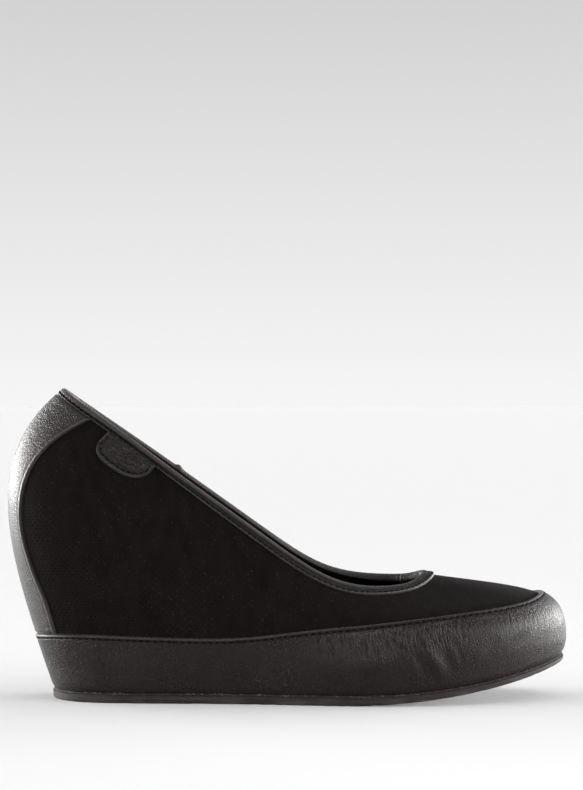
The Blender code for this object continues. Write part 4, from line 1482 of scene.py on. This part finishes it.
def ring_at(height, lift):
    """Ring of points where a layer inside the upper meets a height that depends on x."""
    places = round_places(FOOTBED_ROUND)
    runs = np.linspace(0.0, 1.0, 240)[:, None] * full_run(places)
    points = lay(places, runs, lift)
    over = points[..., 2] - height(points[..., 0])
    ring = []
    for column in range(len(places)):
        first = int(np.argmax(over[:, column] > 0))
        share = over[first - 1, column] / (over[first - 1, column] - over[first, column])
        ring.append(points[first - 1, column] * (1 - share) + points[first, column] * share)
    return np.array(ring)


def ladder(ring, spans, height):
    """Points across a ring, from each column to the one facing it, at heights from height(x, share)."""
    count = len(ring)
    shares = np.linspace(0.0, 1.0, spans + 1)[1:-1]
    columns = np.arange(1, count // 2)
    here, there = ring[columns][:, None, :2], ring[count - columns][:, None, :2]
    flat = here * (1 - shares[None, :, None]) + there * shares[None, :, None]
    z = height(flat[..., 0], np.broadcast_to(shares, flat.shape[:2]))
    return np.concatenate([flat, z[..., None]], axis=-1).reshape(-1, 3)


def ladder_faces(count, spans, ring_start, inner_start):
    """Faces over a ring and its ladder of points, looking up."""
    half = count // 2

    def at(column, span):
        if column in (0, half) or span == 0:
            return ring_start + column
        if span == spans:
            return ring_start + count - column
        return inner_start + (column - 1) * (spans - 1) + span - 1

    faces = []
    for column in range(half):
        for span in range(spans):
            corners = [at(column, span), at(column + 1, span), at(column + 1, span + 1), at(column, span + 1)]
            faces.append(list(dict.fromkeys(corners)))
    return faces


def capped_rings(rings, spans, bottom, top):
    """Points and faces of rings stacked from bottom to top and closed by a ladder below and above."""
    count = len(rings[0])
    faces = grid_faces(len(rings), count, False, True).tolist()
    points = np.concatenate(rings)
    low_start = len(points)
    low = ladder(rings[0], spans, bottom)
    high_start = low_start + len(low)
    high = ladder(rings[-1], spans, top)
    faces += [list(reversed(face)) for face in ladder_faces(count, spans, 0, low_start)]
    faces += ladder_faces(count, spans, (len(rings) - 1) * count, high_start)
    return np.concatenate([points, low, high]), faces


class SHOE_OT_footbed(bpy.types.Operator):
    """Dished leather footbed on the wedge"""
    bl_idname = "shoe.footbed"
    bl_label = "Footbed"

    def execute(self, context):
        lining = context.scene.shoe.lining
        inside = -UPPER_WALL - CLEARANCE
        low = ring_at(insole_under, inside)
        side = ring_at(lambda x: insole_top(x) - INSOLE_EDGE, inside)
        high = ring_at(insole_top, inside)
        inward = unit(np.roll(high, -1, axis=0) - np.roll(high, 1, axis=0))
        inward = np.column_stack([-inward[:, 1], inward[:, 0], np.zeros(len(inward))])
        rings = [low, side, high + INSOLE_BEVEL * inward]

        def under(x, share):
            return insole_under(x)

        def dished(x, share):
            cup = 1 - (2 * share - 1) ** 2
            return insole_top(x) - INSOLE_DISH * cup - INSOLE_HEEL_DISH * cup * fade(x, -0.06, -0.09)

        points, faces = capped_rings(rings, 24, under, dished)
        finish = lining_leather("footbed_leather", lining.footbed_colour)
        piece = make_mesh("footbed", points, faces, [finish])
        dress(piece, "lining_leather", "insole")
        return {"FINISHED"}


# A ring of the sole: how far out from the last's foot, how far above the sole's top or its underside, and how
# much of the lower edge's wear and of the joint's cement, painted pale as glints, it has
SoleRow = namedtuple("SoleRow", "out up from_top low joint")


class SHOE_OT_outsole(bpy.types.Operator):
    """Rubber sole with a stepped top edge, a worn lower edge and ribbed tread"""
    bl_idname = "shoe.outsole"
    bl_label = "Outsole"

    def execute(self, context):
        sole = context.scene.shoe.sole
        places = round_places(SOLE_ROUND)
        foot = skin_and_normals(places, np.zeros(len(places)))[0][:, :2]
        tangent = unit(np.roll(foot, -1, axis=0) - np.roll(foot, 1, axis=0))
        out = np.column_stack([tangent[:, 1], -tangent[:, 0]])
        nicks = self.nicks(foot)
        rings, edge, low = [], [], []
        for row in self.profile(sole):
            reach = row.out - nicks * row.low
            outline = foot + np.broadcast_to(reach, len(foot))[:, None] * out
            base = sole_top(outline[:, 0]) if row.from_top else toe_spring(outline[:, 0])
            rings.append(np.column_stack([outline, base + row.up + 0.5 * nicks * row.low]))
            edge.append(np.full(len(foot), row.joint))
            low.append(np.full(len(foot), row.low))
        points, faces = capped_rings(
            rings, 12,
            lambda x, share: toe_spring(x) + sole.tread_depth,
            lambda x, share: sole_top(x),
        )
        rest = len(points) - len(rings) * len(foot)
        values = {
            "edge": np.concatenate([*edge, np.zeros(rest)]),
            "low": np.concatenate([*low, np.zeros(rest)]),
        }
        rubber = black_rubber(sole)
        piece = make_mesh("outsole_rubber", points, faces, [rubber], values)
        dress(piece, "outsole_rubber", "outsole")
        tread = self.tread(foot, out, sole, rubber)
        dress(tread, "outsole_rubber")
        return {"FINISHED"}

    def profile(self, sole):
        """The sole's side from the tread field, under its lower edge and up to the joint with the band."""
        field = SOLE_EDGE - sole.border
        flat = SOLE_EDGE - SOLE_EDGE_ROUND
        rows = [
            SoleRow(field, sole.tread_depth, False, 0.0, 0.0),
            SoleRow(field + 0.0003, 0.0, False, 0.0, 0.0),
            SoleRow(flat - 0.0006, 0.0, False, 0.2, 0.0),
        ]
        for turn in (0, 18, 36, 54, 72, 90):
            angle = math.radians(turn)
            rows.append(SoleRow(
                flat + SOLE_EDGE_ROUND * math.sin(angle), 0.6 * SOLE_EDGE_ROUND * (1 - math.cos(angle)),
                False, 1.0 - 0.4 * turn / 90, 0.0,
            ))
        rows += [
            SoleRow(SOLE_EDGE - 0.0001, -SOLE_RIM - 0.0009, True, 0.2, 0.0),
            SoleRow(SOLE_EDGE, -SOLE_RIM - 0.0002, True, 0.0, 0.1),
            SoleRow(SOLE_EDGE - 0.0002, -SOLE_RIM, True, 0.0, 0.2),
            SoleRow(SOLE_EDGE - SOLE_RIM_STEP - 0.0001, -SOLE_RIM + 0.0001, True, 0.0, 0.4),
            SoleRow(SOLE_EDGE - SOLE_RIM_STEP, -0.0003, True, 0.0, 0.9),
            SoleRow(SOLE_EDGE - SOLE_RIM_STEP - 0.0003, 0.0, True, 0.0, 1.0),
        ]
        return rows

    def nicks(self, foot):
        """Small knocks along the sole's lower edge."""
        source = np.random.default_rng(7)
        run, whole = length_along(foot, True)
        depth = np.zeros(len(foot))
        for middle in source.uniform(0.0, whole, 60):
            depth += source.uniform(0.0, 0.00032) * bump(run, middle, source.uniform(0.0006, 0.0022))
        return np.minimum(depth, 0.0005)

    def tread(self, foot, out, sole, rubber):
        """Ribs across the sole inside its plain border."""
        inset = SOLE_EDGE - sole.border - TREAD_GAP
        outline = foot + inset * out
        half = len(outline) // 2
        low, high = outline[:half + 1], outline[half:]
        start = outline[:, 0].min() + sole.tread_pitch
        xs = np.arange(start, outline[:, 0].max() - TREAD_END, sole.tread_pitch)
        outer = np.interp(xs, low[:, 0], low[:, 1])
        inner = np.interp(-xs, -high[:, 0], high[:, 1])
        height = sole.tread_depth + TREAD_ROOT
        lean = np.gradient(toe_spring(xs), xs)
        points = np.column_stack([xs, (outer + inner) / 2, toe_spring(xs) + height / 2])
        mesh = bpy.data.meshes.new("tread_ribs")
        mesh.from_pydata(points.tolist(), [], [])
        keep_values(mesh, {"half": (inner - outer) / 2, "slope": -np.arctan(lean)})
        return run_tree(add_object("tread_ribs", mesh), tread_tree(), {
            "Width": sole.tread_width, "Height": height, "Rubber": rubber,
        })


class SHOE_OT_core(bpy.types.Operator):
    """Finish of the wedge, whose solid stays as it is"""
    bl_idname = "shoe.core"
    bl_label = "Wedge core"

    def execute(self, context):
        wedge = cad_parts["wedge"]
        finish = moulded_core()
        for slot in wedge.material_slots:
            slot.material = finish
        return {"FINISHED"}


class SHOE_OT_stage(bpy.types.Operator):
    """White floor, soft light and the camera at the photograph's angle"""
    bl_idname = "shoe.stage"
    bl_label = "Stage"

    def execute(self, context):
        stage = context.scene.shoe.stage
        self.floor(stage)
        self.surround(context.scene, stage)
        for light in LIGHTS:
            self.softbox(light)
        self.camera(context.scene, stage)
        context.scene.view_settings.view_transform = "Standard"
        return {"FINISHED"}

    def floor(self, stage):
        """A round sheet of paper, far wider than the view."""
        sides = 96
        angles = np.linspace(0.0, 2 * np.pi, sides + 1)[:-1]
        circle = np.column_stack([np.cos(angles), np.sin(angles), 0 * angles])
        points = np.concatenate([30.0 * circle, 0.6 * circle, np.zeros((1, 3))])
        faces = grid_faces(2, sides, False, True).tolist()
        faces += [[sides + i, sides + (i + 1) % sides, 2 * sides] for i in range(sides)]
        floor = make_mesh("floor", points, faces, [floor_paper(stage)])

    def surround(self, scene, stage):
        """White surround: grey above the horizon behind the shoe, brighter overhead, darker in front."""
        world = bpy.data.worlds.new("surround")
        world.use_nodes = True
        scene.world = world
        g = Graph(world.node_tree)
        background = world.node_tree.nodes["Background"]
        way = g.node("ShaderNodeSeparateXYZ", None, {"Vector": g.node("ShaderNodeTexCoord")["Generated"]})
        levels = [(z * 0.5 + 0.5, rgba((level, level, level))) for z, level in SURROUND]
        ramp = g.node("ShaderNodeValToRGB", {"stops": levels}, {"Fac": way["Z"] * 0.5 + 0.5})
        low = way["Z"].over(0.55, 0.25)
        front = way["Y"].over(-0.20, -0.85)
        shade = g.mix(front * low * 0.92, ramp, (0.0, 0.0, 0.0, 1.0))
        side = (way["X"] * way["X"]).over(0.12, 0.50) * way["Z"].over(0.40, 0.12) * (1 - front)
        shade = g.mix(side, shade, rgba((stage.side_light,) * 3))
        g.join(background, "Color", shade)
        g.join(background, "Strength", stage.world_strength)

    def softbox(self, light):
        """One soft area light aimed at the shoe."""
        lamp = bpy.data.lights.new(light.name, "AREA")
        lamp.shape = "RECTANGLE"
        lamp.size, lamp.size_y = light.width, light.height
        lamp.energy = light.power
        holder = add_object(light.name, lamp)
        holder.location = light.place
        away = np.array(light.place) - np.array(light.aim)
        holder.rotation_euler = (
            math.atan2(math.hypot(away[0], away[1]), away[2]), 0.0, math.atan2(away[0], -away[1]))

    def camera(self, scene, stage):
        """The camera stands level on the outer side, framing the shoe as the photograph does."""
        lens = bpy.data.cameras.new("camera")
        lens.sensor_fit = "VERTICAL"
        lens.sensor_height = 36.0
        lens.lens = lens.sensor_height * stage.distance / (PHOTO_HEIGHT * PHOTO_SCALE)
        holder = add_object("camera", lens)
        holder.location = (VIEW_CENTRE[0], -stage.distance, VIEW_CENTRE[1])
        holder.rotation_euler = (math.pi / 2, 0.0, 0.0)
        scene.camera = holder


# The photograph's height in pixels, its metres a pixel at the shoe, and the point in its middle (x and z)
PHOTO_HEIGHT = 790
PHOTO_SCALE = 0.0004293
VIEW_CENTRE = (0.0017, 0.1293)

# Brightness of the surround at heights of the view direction
SURROUND = [(-1.0, 0.93), (0.0, 0.915), (0.14, 0.645), (0.26, 0.6), (0.5, 0.55), (1.0, 0.55)]

Softbox = namedtuple("Softbox", "name place aim width height power")
LIGHTS = [
    Softbox("overhead", (0.10, 0.25, 1.20), (0.0, 0.0, 0.05), 1.0, 0.7, 0.8),
    Softbox("before_toe", (0.55, -0.50, 0.16), (0.1, -0.02, 0.03), 0.45, 0.30, 1.2),
    Softbox("above_toe", (0.50, -0.35, 0.60), (0.07, 0.0, 0.04), 0.14, 0.14, 0.5),
]

OPERATORS = (
    SHOE_OT_upper_suede, SHOE_OT_lining, SHOE_OT_band, SHOE_OT_heel_strip, SHOE_OT_binding, SHOE_OT_tab,
    SHOE_OT_stitches, SHOE_OT_footbed, SHOE_OT_outsole, SHOE_OT_core, SHOE_OT_stage,
)


class SHOE_PT_panel(bpy.types.Panel):
    """Sidebar panel with a button for each piece of the shoe"""
    bl_idname = "SHOE_PT_panel"
    bl_label = "Wedge Pump"
    bl_space_type = "VIEW_3D"
    bl_region_type = "UI"
    bl_category = "Shoe"

    def draw(self, context):
        for operator in OPERATORS:
            self.layout.operator(operator.bl_idname)


CLASSES = (
    SuedeSettings, LeatherSettings, LiningSettings, StitchSettings, SoleSettings, StageSettings,
    ShoeSettings, *OPERATORS, SHOE_PT_panel,
)


def register():
    for each in CLASSES:
        bpy.utils.register_class(each)
    bpy.types.Scene.shoe = bpy.props.PointerProperty(
        type=ShoeSettings, name="Shoe", description="Sizes and colours of the shoe")


def unregister():
    del bpy.types.Scene.shoe
    for each in reversed(CLASSES):
        bpy.utils.unregister_class(each)


def main():
    register()
    for operator in OPERATORS:
        group, name = operator.bl_idname.split(".")
        getattr(getattr(bpy.ops, group), name)()


if __name__ == "__main__":
    main()
